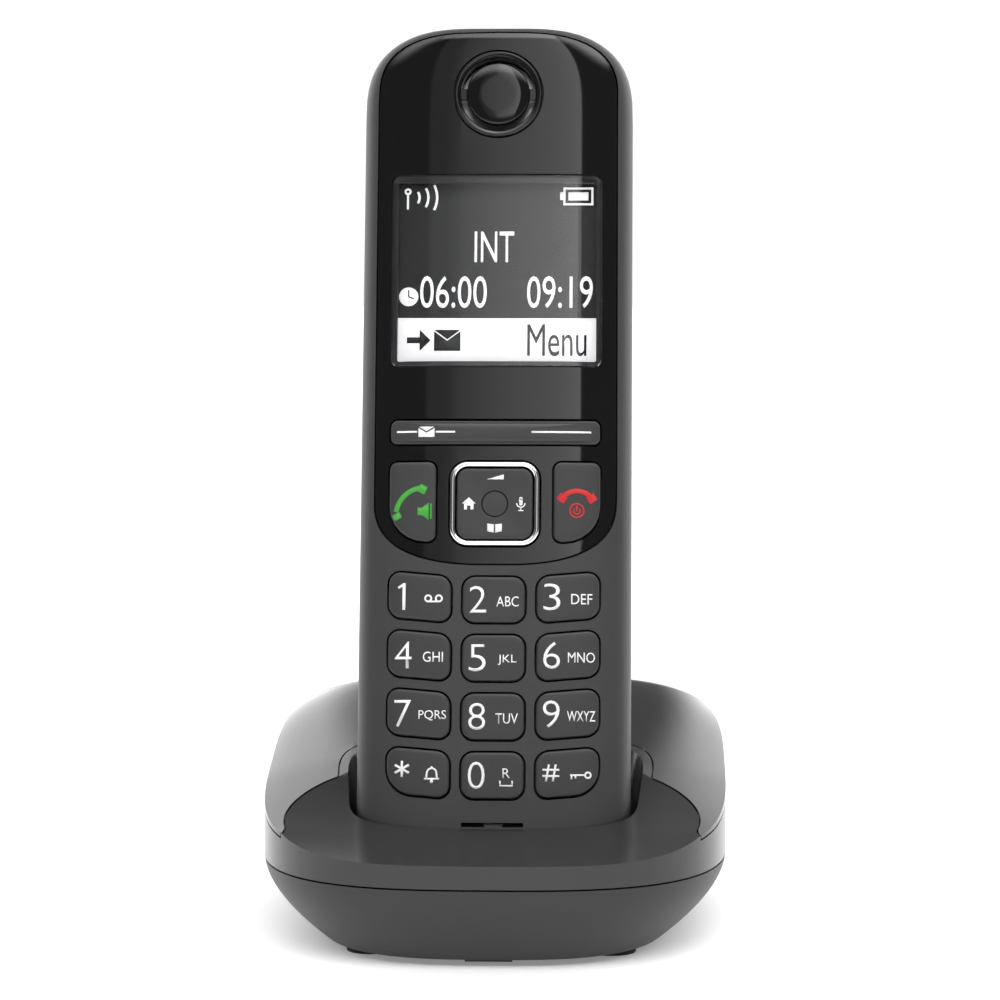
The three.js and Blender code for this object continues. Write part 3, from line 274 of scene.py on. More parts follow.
# %% [markdown]
# A shape becomes a piece when its points are put in their place, its smooth faces are marked
# and it has a finish. It then rides on its body, and stands for the plain solids it covers.

# %% Pieces


def piece(name, shape, matrix, material, body, replaced=(), edge=0.0, angle=30, bend=35):
    """edge is the radius in millimetres of the rounding on every edge sharper than bend degrees."""
    obj = solid(shape, name) if isinstance(shape, bmesh.types.BMesh) else shape
    obj.name = name
    obj.data.name = name
    bm = bmesh.new()
    bm.from_mesh(obj.data)
    bmesh.ops.remove_doubles(bm, verts=bm.verts, dist=0.0005)
    bmesh.ops.dissolve_degenerate(bm, edges=bm.edges, dist=0.0005)
    bmesh.ops.transform(bm, matrix=matrix, verts=bm.verts)
    for face in bm.faces:
        face.smooth = True
    bm.to_mesh(obj.data)
    bm.free()
    obj.data.set_sharp_from_angle(angle=math.radians(angle))
    obj.data.materials.clear()
    obj.data.materials.append(material)
    if edge:
        rounding = obj.modifiers.new("rounding", "BEVEL")
        rounding.width = edge * MM
        rounding.segments = 2
        rounding.limit_method = "ANGLE"
        rounding.angle_limit = math.radians(bend)
        rounding.harden_normals = False
        rounding.use_clamp_overlap = True
    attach(obj, body)
    if replaced:
        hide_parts(*replaced)
    print(name, len(obj.data.polygons), "faces")
    return obj


# %% [markdown]
# ## The handset's body
# Its section is a superellipse: nearly flat faces with softly rounded sides. The back swells
# towards the middle where the cells lie, and foot and head draw in on a superellipse as well.
# One function makes the body at any inset, so that walls, recesses and panels all follow it.

# %% Handset body
SQUARENESS = 4.5
REAR_DEPTH = 12.5
REAR_BULGE = 6.5
FOOT_END = 12
HEAD_END = 17
END_SQUARENESS = 3
FRONT_ROUND = 3.2
REAR_ROUND = 7
END_START = math.radians(8)
SECTION_CORNERS = 112
END_LEVELS = 14
SIDE_LEVELS = 14
GAP = 0.3


def powered(value, power):
    return math.copysign(abs(value) ** power, value)


def rear_depth(y):
    along = min(max((y - 10) / 150, 0), 1)
    return REAR_DEPTH + REAR_BULGE * math.sin(math.pi * along)


def front_height(x):
    across = min(1, abs(x / HALF_WIDTH)) ** SQUARENESS
    return FRONT_DEPTH * (1 - across) ** (1 / SQUARENESS)


def stations():
    """Levels along the body: place, share of the width and how an inset moves the level."""
    levels = []
    for i in range(END_LEVELS + 1):
        angle = END_START + (math.pi / 2 - END_START) * i / END_LEVELS
        shift = max(0, math.cos(angle)) ** (2 / END_SQUARENESS)
        share = math.sin(angle) ** (2 / END_SQUARENESS)
        levels.append((FOOT_END * (1 - shift), share, shift))
        levels.append((LENGTH - HEAD_END * (1 - shift), share, -shift))
    for i in range(1, SIDE_LEVELS):
        levels.append((FOOT_END + (LENGTH - FOOT_END - HEAD_END) * i / SIDE_LEVELS, 1, 0))
    return sorted(levels)


def section(i, corners=SECTION_CORNERS):
    angle = math.tau * i / corners
    return powered(math.cos(angle), 2 / SQUARENESS), powered(math.sin(angle), 2 / SQUARENESS)


def pillow(inset):
    along = stations()

    def place(i, level):
        x, z = section(i)
        y, share, shift = along[level]
        from_end = min(y, LENGTH - y) / (FRONT_ROUND if z > 0 else REAR_ROUND)
        ends = (1 - (1 - min(1, from_end)) ** 3) ** (1 / 3)
        depth = ((FRONT_DEPTH if z > 0 else rear_depth(y)) - inset) * ends
        return x * (HALF_WIDTH - inset) * share, y + inset * shift, z * depth

    return loft(SECTION_CORNERS, len(along), place)


# %% [markdown]
# The openings in the key face come from the frame's own keys, window and panel.

# %% Openings of the key face
FRONT_WALL = 2.6
REAR_WALL = 2.2
PANEL_THICKNESS = 1.3
KEY_FOOT_Z = 4.7
KEY_FLANGE = 0.7
KEY_GAP = 0.35
FAR = 60
PANEL_LOW_END = 12.9
PANEL_HIGH_END = 13
PANEL_LOW_SQUARENESS = 2.7
WINDOW_CORNER = 1.4
KEY_CORNER = 2.2
KEY_BIG_CORNER = 4.2
KEY_SMILE = 1
KEY_WIDTH = 11.1
SOFTKEY_FLANGE = 0.2
panel_low, panel_high = reach("front_gloss_panel")
window_low, window_high = reach("display_window")
WINDOW_Y = (window_low.y + window_high.y) / 2
EARPIECE_Y = (reach("earpiece_cap")[0].y + reach("earpiece_cap")[1].y) / 2
EARPIECE_RADIUS = reach("earpiece_cap")[1].x


def panel_outline(grow=0, steps=28):
    half = panel_high.x + grow
    points = []
    for i in range(steps + 1):
        angle = math.pi * i / steps
        rise = abs(math.sin(angle)) ** (2 / END_SQUARENESS)
        x = half * powered(math.cos(angle), 2 / END_SQUARENESS)
        points.append((x, panel_high.y + grow - PANEL_HIGH_END * (1 - rise)))
    for i in range(steps + 1):
        angle = math.pi + math.pi * i / steps
        fall = abs(math.sin(angle)) ** (2 / PANEL_LOW_SQUARENESS)
        x = half * powered(math.cos(angle), 2 / PANEL_LOW_SQUARENESS)
        points.append((x, panel_low.y - grow + PANEL_LOW_END * (1 - fall)))
    return points


def window_outline(grow=0):
    width = window_high.x - window_low.x + 2 * grow
    height = window_high.y - window_low.y + 2 * grow
    return rounded(width, height, WINDOW_CORNER + grow)


def key_plan(name, corners, flange=KEY_FLANGE, column=0):
    """Middle, size, corner radii and lean of a key, read from the frame."""
    low, high = reach(name)
    lean = column * KEY_SMILE / KEY_WIDTH
    width = high.x - low.x - 2 * flange
    height = high.y - low.y - 2 * flange - abs(lean) * (width + 2 * flange)
    if column and max(corners) > KEY_CORNER:
        height = reach("key_0")[1].y - reach("key_0")[0].y - 2 * flange
    middle = ((low.x + high.x) / 2, (low.y + high.y) / 2)
    return {"name": name, "at": middle, "width": width, "height": height, "corners": corners, "lean": lean}


NUMBER_KEYS = [
    ["key_1", "key_2", "key_3"],
    ["key_4", "key_5", "key_6"],
    ["key_7", "key_8", "key_9"],
    ["key_star", "key_0", "key_hash"],
]
ROW_TOP = 47.65
ROW_PITCH = 10.46
keys = []
for row, names in enumerate(NUMBER_KEYS):
    for column, name in enumerate(names):
        corners = [KEY_CORNER] * 4
        if name == "key_star":
            corners[0] = KEY_BIG_CORNER
        if name == "key_hash":
            corners[1] = KEY_BIG_CORNER
        plan = key_plan(name, corners, column=column - 1)
        plan["height"] = key_plan("key_5", [KEY_CORNER] * 4)["height"]
        plan["at"] = (plan["at"][0], ROW_TOP - row * ROW_PITCH + abs(column - 1) * KEY_SMILE / 2)
        keys.append(plan)
TALK_CORNER = 1.4
TALK_BIG_CORNER = 6.4
keys.append(key_plan("call_key", [TALK_BIG_CORNER] + [TALK_CORNER] * 3))
keys.append(key_plan("end_key", [TALK_CORNER, TALK_BIG_CORNER, TALK_CORNER, TALK_CORNER]))
keys.append(key_plan("softkey_bar", [1.2] * 4, flange=SOFTKEY_FLANGE))


def leant(points, plan):
    x, y = plan["at"]
    return [(px + x, py + plan["lean"] * px + y) for px, py in points]


def key_holes():
    holes = []
    for plan in keys:
        radii = [r + KEY_GAP for r in plan["corners"]]
        points = rounded(plan["width"] + 2 * KEY_GAP, plan["height"] + 2 * KEY_GAP, radii)
        holes.append(prism(leant(points, plan), KEY_FOOT_Z, FAR))
    return together(*holes)


nav_low, nav_high = reach("nav_rim")
NAV_Y = (nav_low.y + nav_high.y) / 2
NAV_WIDTH = nav_high.x - nav_low.x
NAV_HEIGHT = nav_high.y - nav_low.y
NAV_CORNER = 3.2
SLOT_INNER = 5.75
SLOT_OUTER = 6.85


def nav_hole():
    points = rounded(NAV_WIDTH + 2 * KEY_GAP, NAV_HEIGHT + 2 * KEY_GAP, NAV_CORNER + KEY_GAP)
    return prism(points, KEY_FOOT_Z, FAR, y=NAV_Y)


print(len(keys), "keys in the key face")

# %% [markdown]
# ## The half shells, the gloss panel and the window
# The front shell is the body above the joint, hollowed, with a recess for the gloss panel and
# the openings cut through. The panel and the window are cut from one thin skin of the body.

# %% Front half
body_solid = solid(pillow(0))
skin = combine(copy_of(body_solid), pillow(PANEL_THICKNESS))


def front_shell():
    shell = combine(copy_of(body_solid), pillow(FRONT_WALL))
    combine(shell, block((-FAR, -FAR, -FAR), (FAR, 3 * FAR, GAP / 2)))
    recess = combine(solid(prism(panel_outline(GAP), 0, FAR)), pillow(PANEL_THICKNESS + GAP))
    combine(shell, recess)
    combine(shell, key_holes())
    combine(shell, nav_hole())
    combine(shell, prism(window_outline(-1), KEY_FOOT_Z, FAR, y=WINDOW_Y))
    combine(shell, disc(SLOT_OUTER, KEY_FOOT_Z, FAR, y=EARPIECE_Y))
    mic_low = Vector((-5.5, 7.15, KEY_FOOT_Z))
    combine(shell, block(mic_low, (5.5, 7.95, FAR)))
    return shell


piece("front_shell", front_shell(), HANDSET, matte_plastic, "handset",
      ["handset_front_shell"], edge=0.22)


def gloss_panel():
    panel = combine(copy_of(skin), prism(panel_outline(), 0, FAR), "INTERSECT")
    combine(panel, key_holes())
    combine(panel, nav_hole())
    combine(panel, prism(window_outline(GAP), KEY_FOOT_Z, FAR, y=WINDOW_Y))
    combine(panel, disc(EARPIECE_RADIUS + GAP, KEY_FOOT_Z, FAR, y=EARPIECE_Y))
    return panel


piece("gloss_front", gloss_panel(), HANDSET, gloss_black, "handset",
      ["front_gloss_panel"], edge=0.12)
window = combine(copy_of(skin), prism(window_outline(), 0, FAR, y=WINDOW_Y), "INTERSECT")
piece("window", window, HANDSET, lens, "handset", ["display_window"], edge=0.1)
drop(skin)

# %% [markdown]
# The rear half holds the battery tray. The cover closes it with the same outer curve, so both
# are cut from the body, the cover by its own outline and the shell by a slightly larger one.

# %% Rear half
COVER_THICKNESS = 1.5
COVER_CORNER = 6
LEDGE_DEPTH = 2.0
LEDGE_THICKNESS = 1.4
LEDGE_WIDTH = 2.5
TRAY_WALL = 1.2
cover_low, cover_high = reach("battery_cover")
cell_low, cell_high = reach("battery_cell_left")
link_high = reach("battery_link_plate")[1]
contact_low = reach("battery_contact_left")[0]
screw_low, screw_high = reach("handset_screw_right")
SCREW_X = (screw_low.x + screw_high.x) / 2
SCREW_Y = (screw_low.y + screw_high.y) / 2
RINGER_Y = (reach("ringer_speaker")[0].y + reach("ringer_speaker")[1].y) / 2


def cover_prism(grow):
    width = cover_high.x - cover_low.x + 2 * grow
    height = cover_high.y - cover_low.y + 2 * grow
    return prism(rounded(width, height, COVER_CORNER + grow), -FAR, 0, y=(cover_low.y + cover_high.y) / 2)


def rear_shell():
    shell = combine(copy_of(body_solid), pillow(REAR_WALL))
    under_skin = solid(pillow(REAR_WALL / 2))
    ledge = combine(copy_of(under_skin), pillow(LEDGE_DEPTH + LEDGE_THICKNESS))
    combine(ledge, cover_prism(LEDGE_WIDTH), "INTERSECT")
    combine(shell, ledge, "UNION")
    tray_top = cell_high.z + GAP
    half = -cell_low.x + GAP
    low_y = contact_low.y - GAP
    high_y = link_high.y + GAP
    wall = TRAY_WALL
    tray = solid(block((-half - wall, low_y - wall, -FAR), (half + wall, high_y + wall, tray_top + wall)))
    combine(tray, under_skin, "INTERSECT", keep=True)
    combine(shell, tray, "UNION")
    wells = together(*[disc(3.4, -FAR, -GAP, side * SCREW_X, SCREW_Y) for side in (-1, 1)])
    wells = combine(solid(wells), under_skin, "INTERSECT")
    combine(shell, wells, "UNION")
    combine(shell, block((-FAR, -FAR, -GAP / 2), (FAR, 3 * FAR, FAR)))
    recess = combine(solid(cover_prism(GAP)), pillow(LEDGE_DEPTH))
    combine(shell, recess)
    combine(shell, block((-half, low_y, -FAR), (half, high_y, tray_top)))
    bores = []
    for side in (-1, 1):
        bores.append(disc(2.3, -FAR, -4, side * SCREW_X, SCREW_Y))
    combine(shell, together(*bores))
    combine(shell, together(*[disc(1.3, -5, 5, side * SCREW_X, SCREW_Y) for side in (-1, 1)]))
    slots = []
    for i in (-1, 0, 1):
        half_slot = 7 - abs(i)
        y = RINGER_Y + 3.4 * i
        slots.append(block((-half_slot, y - 0.6, -FAR), (half_slot, y + 0.6, screw_high.z - 12)))
    combine(shell, together(*slots))
    pads = []
    for side in (-1, 1):
        pads.append(block((side * 8 - 2, -4, -6.8), (side * 8 + 2, 4, -1.2)))
    combine(shell, together(*pads))
    return shell


piece("rear_shell", rear_shell(), HANDSET, matte_plastic, "handset",
      ["handset_rear_shell"], edge=0.18)
battery_cover = combine(copy_of(body_solid), cover_prism(0), "INTERSECT")
combine(battery_cover, pillow(COVER_THICKNESS))
piece("rear_cover", battery_cover, HANDSET, matte_plastic, "battery_cover",
      ["battery_cover"], edge=0.2)
drop(body_solid)

# %% [markdown]
# ## Keys
# A key is a rounded plug with a flange that keeps it in the shell. Its top follows the crown of
# the key face, stands half a millimetre proud and has a soft edge. Rings of corners are drawn
# up the plug, over the edge and in towards the middle.

# %% Key shapes
KEY_PROUD = 0.5
KEY_EDGE = 0.32
EDGE_STEPS = 4
FLANGE_THICKNESS = 0.5


def key_top(x):
    return front_height(x) + KEY_PROUD


def key_shape(plan, flange=KEY_FLANGE):
    width, height, radii = plan["width"], plan["height"], plan["corners"]
    rings = [(flange, KEY_FOOT_Z, 0, 1), (flange, KEY_FOOT_Z + FLANGE_THICKNESS, 0, 1)]
    rings.append((0, KEY_FOOT_Z + FLANGE_THICKNESS, 0, 1))
    for i in range(EDGE_STEPS + 1):
        angle = math.pi / 2 * i / EDGE_STEPS
        rings.append((-KEY_EDGE * (1 - math.cos(angle)), None, KEY_EDGE * (math.sin(angle) - 1), 1))
    rings += [(-KEY_EDGE, None, 0.03, share) for share in (0.93, 0.8, 0.6, 0.35, 0.1)]
    outlines = []
    for grow, _, _, share in rings:
        points = rounded(width + 2 * grow, height + 2 * grow, [r + grow for r in radii])
        outlines.append(leant([(px * share, py * share) for px, py in points], plan))

    def place(i, level):
        x, y = outlines[level][i]
        _, fixed, rise, _ = rings[level]
        return x, y, fixed if fixed is not None else key_top(x) + rise

    return loft(len(outlines[0]), len(rings), place)


for plan in keys:
    flange = SOFTKEY_FLANGE if plan["name"] == "softkey_bar" else KEY_FLANGE
    shape = key_shape(plan, flange)
    piece(plan["name"] + "_cap", shape, HANDSET, key_plastic, plan["name"], [plan["name"]])

# %% [markdown]
# The navigation control has a bright plated rim with a rounded top, a four-way pad with a
# slight dish inside it, and a small round centre button.

# %% Navigation control
RIM_WIDTH = 0.9
RIM_STEPS = 6
PAD_EDGE = 0.3
PAD_DISH = 0.25
nav_top = nav_high.z
nav_foot = nav_low.z


def rim_shape():
    rings = [(0, nav_foot)]
    for i in range(RIM_STEPS + 1):
        angle = math.pi * i / RIM_STEPS
        rings.append((-RIM_WIDTH / 2 * (1 - math.cos(angle)), nav_top - 0.4 + 0.4 * math.sin(angle)))
    rings.append((-RIM_WIDTH, nav_foot))
    outlines = [
        rounded(NAV_WIDTH + 2 * grow, NAV_HEIGHT + 2 * grow, NAV_CORNER + grow, 10) for grow, _ in rings
    ]
    return loft(
        len(outlines[0]), len(rings),
        lambda i, level: (outlines[level][i][0], outlines[level][i][1] + NAV_Y, rings[level][1]),
        closed=True,
    )


piece("nav_rim_ring", rim_shape(), HANDSET, chrome, "nav_rim", ["nav_rim"])
pad_low, pad_high = reach("nav_pad")
CENTRE_RADIUS = reach("nav_centre")[1].x


def pad_shape():
    width = pad_high.x - pad_low.x
    height = pad_high.y - pad_low.y
    corner = NAV_CORNER - RIM_WIDTH - GAP
    rings = [(0, 1, pad_low.z)]
    for i in range(EDGE_STEPS + 1):
        angle = math.pi / 2 * i / EDGE_STEPS
        rings.append((-PAD_EDGE * (1 - math.cos(angle)), 1, pad_high.z + PAD_EDGE * (math.sin(angle) - 1)))
    for share in (0.9, 0.75, 0.6, 0.45, 0.25):
        rings.append((-PAD_EDGE, share, pad_high.z - PAD_DISH * (1 - share)))
    outlines = []
    for grow, share, _ in rings:
        points = rounded(width + 2 * grow, height + 2 * grow, corner + grow, 10)
        outlines.append([(px * share, py * share + NAV_Y) for px, py in points])
    shape = loft(len(outlines[0]), len(rings), lambda i, level: (*outlines[level][i], rings[level][2]))
    return combine(solid(shape), disc(CENTRE_RADIUS + 0.12, 0, FAR, y=NAV_Y))


piece("nav_pad_dish", pad_shape(), HANDSET, key_plastic, "nav_pad", ["nav_pad"])


def turned(profile, segments=48, x=0, y=0):
    """A round piece from (radius, height) pairs, the first and last of them near the axis."""
    def place(i, level):
        angle = math.tau * i / segments
        radius, z = profile[level]
        return x + radius * math.cos(angle), y + radius * math.sin(angle), z

    return loft(segments, len(profile), place)


centre_top = pad_high.z - PAD_DISH * 0.7
centre = turned([(CENTRE_RADIUS, pad_low.z), (CENTRE_RADIUS, centre_top - 0.15),
                 (CENTRE_RADIUS - 0.15, centre_top), (CENTRE_RADIUS / 2, centre_top + 0.03),
                 (0.2, centre_top + 0.05)], y=NAV_Y)
piece("nav_centre_button", centre, HANDSET, key_plastic, "nav_centre", ["nav_centre"])

# %% [markdown]
# The earpiece is a stepped ring round a shallow disc. Two curved slots let the sound out and
# leave a bridge at each side.

# %% Earpiece
cap_low, cap_high = reach("earpiece_cap")
SLOT_BRIDGE = 1.0


def ear_cap():
    top = cap_high.z
    profile = [
        (EARPIECE_RADIUS, cap_low.z), (EARPIECE_RADIUS, top - 0.25), (EARPIECE_RADIUS - 0.15, top - 0.05),
        (EARPIECE_RADIUS - 0.45, top), (SLOT_OUTER + 0.25, top - 0.15), (SLOT_OUTER, top - 0.45),
        (SLOT_INNER, top - 0.45), (SLOT_INNER - 0.15, top - 0.15), (SLOT_INNER - 0.5, top - 0.02),
        (3, top + 0.0), (0.3, top + 0.0),
    ]
    cap = solid(turned(profile, 96, y=EARPIECE_Y))
    ring = combine(solid(disc(SLOT_OUTER, 0, FAR, y=EARPIECE_Y, segments=96)),
                   disc(SLOT_INNER, -1, FAR + 1, y=EARPIECE_Y, segments=96))
    far = EARPIECE_RADIUS + 1
    combine(ring, block((-far, EARPIECE_Y - SLOT_BRIDGE, -1), (far, EARPIECE_Y + SLOT_BRIDGE, FAR + 1)))
    return combine(cap, ring)


piece("earpiece", ear_cap(), HANDSET, gloss_black, "handset", ["earpiece_cap"], edge=0.06)

# %% [markdown]
# ## Printing
# Characters are text curves turned into meshes and scaled to their printed size. Small signs
# are drawn from bars, arcs and dots. Both are laid on the surface below them, a few hundredths
# of a millimetre high, as printing is.

# %% Signs from bars, arcs and dots
PRINT_LIFT = 0.04


def bar(low_x, low_y, high_x, high_y):
    bm = bmesh.new()
    bmesh.ops.create_grid(bm, x_segments=4, y_segments=1, size=0.5)
    bmesh.ops.scale(bm, vec=(high_x - low_x, high_y - low_y, 1), verts=bm.verts)
    bmesh.ops.translate(bm, vec=((low_x + high_x) / 2, (low_y + high_y) / 2, 0), verts=bm.verts)
    return bm


def stroke(start, end, width):
    """A straight bar between two points."""
    start, end = Vector(start), Vector(end)
    length = (end - start).length
    bm = bar(-length / 2, -width / 2, length / 2, width / 2)
    angle = math.atan2(end.y - start.y, end.x - start.x)
    bmesh.ops.rotate(bm, matrix=Matrix.Rotation(angle, 3, "Z"), verts=bm.verts)
    bmesh.ops.translate(bm, vec=((start + end) / 2).to_3d(), verts=bm.verts)
    return bm


def arc(x, y, radius, width, start=0, end=360, steps=24):
    """Part of a flat ring, by spinning a short edge."""
    bm = bmesh.new()
    inner = bm.verts.new((radius - width / 2, 0, 0))
    outer = bm.verts.new((radius + width / 2, 0, 0))
    edge = bm.edges.new((inner, outer))
    full = end - start >= 360
    bmesh.ops.rotate(bm, matrix=Matrix.Rotation(math.radians(start), 3, "Z"), verts=bm.verts)
    bmesh.ops.spin(bm, geom=[inner, outer, edge], angle=math.radians(end - start), steps=steps,
                   axis=(0, 0, 1), cent=(0, 0, 0), use_merge=full)
    bmesh.ops.translate(bm, vec=(x, y, 0), verts=bm.verts)
    return bm


def dot(x, y, radius, segments=20):
    bm = bmesh.new()
    bmesh.ops.create_circle(bm, segments=segments, radius=radius, cap_ends=True)
    bmesh.ops.translate(bm, vec=(x, y, 0), verts=bm.verts)
    return bm


def plate(*points):
    """A flat face with the given corners."""
    bm = bmesh.new()
    bmesh.ops.contextual_create(bm, geom=[bm.verts.new((*point, 0)) for point in points])
    return bm


def lettering(text, x, y, height, width=None, weight=0.0):
    """Text about (x, y), scaled to that height and width in millimetres; weight thickens its strokes."""
    curve = bpy.data.curves.new("lettering", "FONT")
    curve.body = text
    curve.resolution_u = 4
    curve.offset = weight
    holder = bpy.data.objects.new("lettering", curve)
    bpy.context.scene.collection.objects.link(holder)
    bpy.context.view_layer.update()
    graph = bpy.context.evaluated_depsgraph_get()
    mesh = bpy.data.meshes.new_from_object(holder.evaluated_get(graph))
    bm = bmesh.new()
    bm.from_mesh(mesh)
    bpy.data.objects.remove(holder)
    bpy.data.curves.remove(curve)
    bpy.data.meshes.remove(mesh)
    xs = [v.co.x for v in bm.verts]
    ys = [v.co.y for v in bm.verts]
    scale_y = height / (max(ys) - min(ys))
    scale_x = width / (max(xs) - min(xs)) if width else scale_y
    middle = Vector(((max(xs) + min(xs)) / 2, (max(ys) + min(ys)) / 2, 0))
    bmesh.ops.translate(bm, vec=-middle, verts=bm.verts)
    bmesh.ops.scale(bm, vec=(scale_x, scale_y, 1), verts=bm.verts)
    bmesh.ops.translate(bm, vec=(x, y, 0), verts=bm.verts)
    return bm


def printed(name, shapes, material, body, surface, lift=PRINT_LIFT):
    """Joins flat signs, lays them on surface(x, y) and gives them a printed film's thickness."""
    bm = together(*shapes)
    bmesh.ops.remove_doubles(bm, verts=bm.verts, dist=0.0005)
    bmesh.ops.triangulate(bm, faces=bm.faces)
    for v in bm.verts:
        v.co.z = surface(v.co.x, v.co.y) + lift
    for face in bm.faces:
        if face.normal.z < 0:
            face.normal_flip()
    bm.normal_update()
    for face in bm.faces:
        if face.normal.z < 0:
            face.normal_flip()
    obj = piece(name, bm, HANDSET, material, body)
    film = obj.modifiers.new("film", "SOLIDIFY")
    film.thickness = 0.03 * MM
    film.offset = 0
    return obj


def on_key(x, y):
    return key_top(x) + 0.03


# %% [markdown]
# Each number key has a large digit on the left and small letters on its right. A few keys have
# a sign instead of letters: two loops, a bell, a space mark under an R, and a small key.

# %% Legends of the number keys
DIGIT_SHIFT = -2.85
LETTER_SHIFT = 2.45
DIGIT_HEIGHT = 4.8
DIGIT_WIDTH = 3.0
DIGIT_WEIGHT = -0.012
LETTER_HEIGHT = 1.85
LETTER_WEIGHT = 0.0
LINE = 0.32
LETTERS = {
    "key_2": ("ABC", 4.0), "key_3": ("DEF", 3.75), "key_4": ("GHI", 3.6), "key_5": ("JKL", 3.3),
    "key_6": ("MNO", 4.8), "key_7": ("PQRS", 4.9), "key_8": ("TUV", 4.0), "key_9": ("WXYZ", 5.0),
}


def voicemail_sign(x, y):
    return [arc(x - 0.95, y, 0.55, LINE), arc(x + 0.95, y, 0.55, LINE),
            bar(x - 0.95, y - 0.71, x + 0.95, y - 0.39)]


def bell_sign(x, y):
    return [arc(x, y + 0.2, 0.85, LINE, 0, 180), stroke((x - 0.85, y + 0.25), (x - 0.95, y - 0.75), LINE),
            stroke((x + 0.85, y + 0.25), (x + 0.95, y - 0.75), LINE),
            bar(x - 1.35, y - 0.95, x + 1.35, y - 0.65),
            dot(x, y - 1.25, 0.3), dot(x, y + 1.2, 0.22)]


def space_sign(x, y):
    return [lettering("R", x, y + 0.75, 1.7), bar(x - 1.2, y - 1.6, x + 1.2, y - 1.35),
            bar(x - 1.2, y - 1.4, x - 0.95, y - 0.6), bar(x + 0.95, y - 1.4, x + 1.2, y - 0.6)]


def little_key_sign(x, y):
    return [arc(x + 1.25, y, 0.5, LINE), bar(x - 1.9, y - 0.15, x + 0.8, y + 0.15),
            bar(x - 1.8, y - 0.75, x - 1.5, y), bar(x - 1.1, y - 0.6, x - 0.8, y)]


def star_sign(x, y):
    arms = []
    for i in range(3):
        angle = math.pi / 2 + i * math.pi / 3
        tip = Vector((math.cos(angle), math.sin(angle))) * 1.45
        arms.append(stroke((x - tip.x, y - tip.y), (x + tip.x, y + tip.y), 0.42))
    return arms


def hash_sign(x, y):
    strokes = []
    for side in (-1, 1):
        strokes.append(stroke((x + side * 0.6 - 0.25, y - 1.5), (x + side * 0.6 + 0.25, y + 1.5), 0.36))
        strokes.append(bar(x - 1.5, y + side * 0.55 - 0.18, x + 1.5, y + side * 0.55 + 0.18))
    return strokes


SIGNS = {"key_1": voicemail_sign, "key_star": bell_sign, "key_0": space_sign, "key_hash": little_key_sign}
for plan in keys[:12]:
    name = plan["name"]
    x, y = plan["at"]
    digit_x = x + DIGIT_SHIFT
    letter_x = x + LETTER_SHIFT
    if name == "key_star":
        signs = star_sign(digit_x, y + 0.6)
    elif name == "key_hash":
        signs = hash_sign(digit_x, y)
    else:
        digit = name[-1]
        digit_width = None if digit == "1" else DIGIT_WIDTH
        signs = [lettering(digit, digit_x, y, DIGIT_HEIGHT, digit_width, DIGIT_WEIGHT)]
        if digit == "1":
            signs.append(stroke((digit_x - 1.05, y + 1.55), (digit_x, y + 2.2), 0.4))
    if name in LETTERS:
        letters, width = LETTERS[name]
        signs.append(lettering(letters, letter_x, y - 0.35, LETTER_HEIGHT, width, LETTER_WEIGHT))
    else:
        signs += SIGNS[name](letter_x, y - 0.35)
    printed("legend_" + name[4:], signs, print_white, name, on_key)

# %% [markdown]
# The talk keys carry a green and a red receiver, the bar between them and the display a letter
# between two lines, and the pad four small signs.

# %% Signs on the talk keys, the bar and the pad


def envelope_sign(x, y, width=2.0, height=1.35):
    half, tall, gap = width / 2, height / 2, 0.13
    top = y + tall - gap * 2
    fold = y + 0.1 * tall - gap * 2
    return [
        plate((x - half, y + tall), (x, y + 0.1 * tall), (x + half, y + tall)),
        plate((x - half, top), (x - half, y - tall), (x, y - tall), (x, fold)),
        plate((x, y - tall), (x + half, y - tall), (x + half, top), (x, fold)),
    ]


call_x, call_y = keys[12]["at"]
end_x, end_y = keys[13]["at"]
call_signs = [arc(call_x + 2.1, call_y - 2.6, 5.1, 0.9, 98, 172),
              stroke((call_x + 1.1, call_y + 2.55), (call_x + 2.4, call_y + 1.9), 1.5),
              stroke((call_x - 3.05, call_y - 2.2), (call_x - 2.5, call_y - 3.2), 1.5),
              bar(call_x + 0.9, call_y - 2.5, call_x + 1.7, call_y - 1.1),
              plate((call_x + 1.7, call_y - 2.5), (call_x + 2.9, call_y - 3.4),
                    (call_x + 2.9, call_y - 0.2), (call_x + 1.7, call_y - 1.1)),
              stroke((call_x + 3.3, call_y - 3.2), (call_x + 3.3, call_y - 0.4), 0.3)]
printed("sign_call", call_signs, print_green, "call_key", on_key)
end_signs = [arc(end_x, end_y - 1.4, 3.4, 0.9, 38, 142),
             stroke((end_x - 3.3, end_y + 1.1), (end_x - 2.0, end_y + 0.2), 1.4),
             stroke((end_x + 3.3, end_y + 1.1), (end_x + 2.0, end_y + 0.2), 1.4),
             arc(end_x, end_y - 1.55, 1.25, 0.26),
             bar(end_x - 0.13, end_y - 1.75, end_x + 0.13, end_y - 0.65),
             arc(end_x, end_y - 1.6, 0.6, 0.22, 135, 405)]
printed("sign_end", end_signs, print_red, "end_key", on_key)
bar_y = keys[14]["at"][1]
bar_signs = [bar(-17.7, bar_y - 0.17, -14.0, bar_y + 0.17), bar(-10.7, bar_y - 0.17, -7.2, bar_y + 0.17),
             bar(6.5, bar_y - 0.17, 17.2, bar_y + 0.17), *envelope_sign(-12.35, bar_y, 2.9, 1.9)]
printed("sign_bar", bar_signs, print_white, "softkey_bar", on_key)


def pad_height(x, y):
    share = max(abs(x) / (NAV_WIDTH / 2 - 1.5), abs(y - NAV_Y) / (NAV_HEIGHT / 2 - 1.5))
    return pad_high.z - PAD_DISH * (1 - min(1, share)) + 0.03


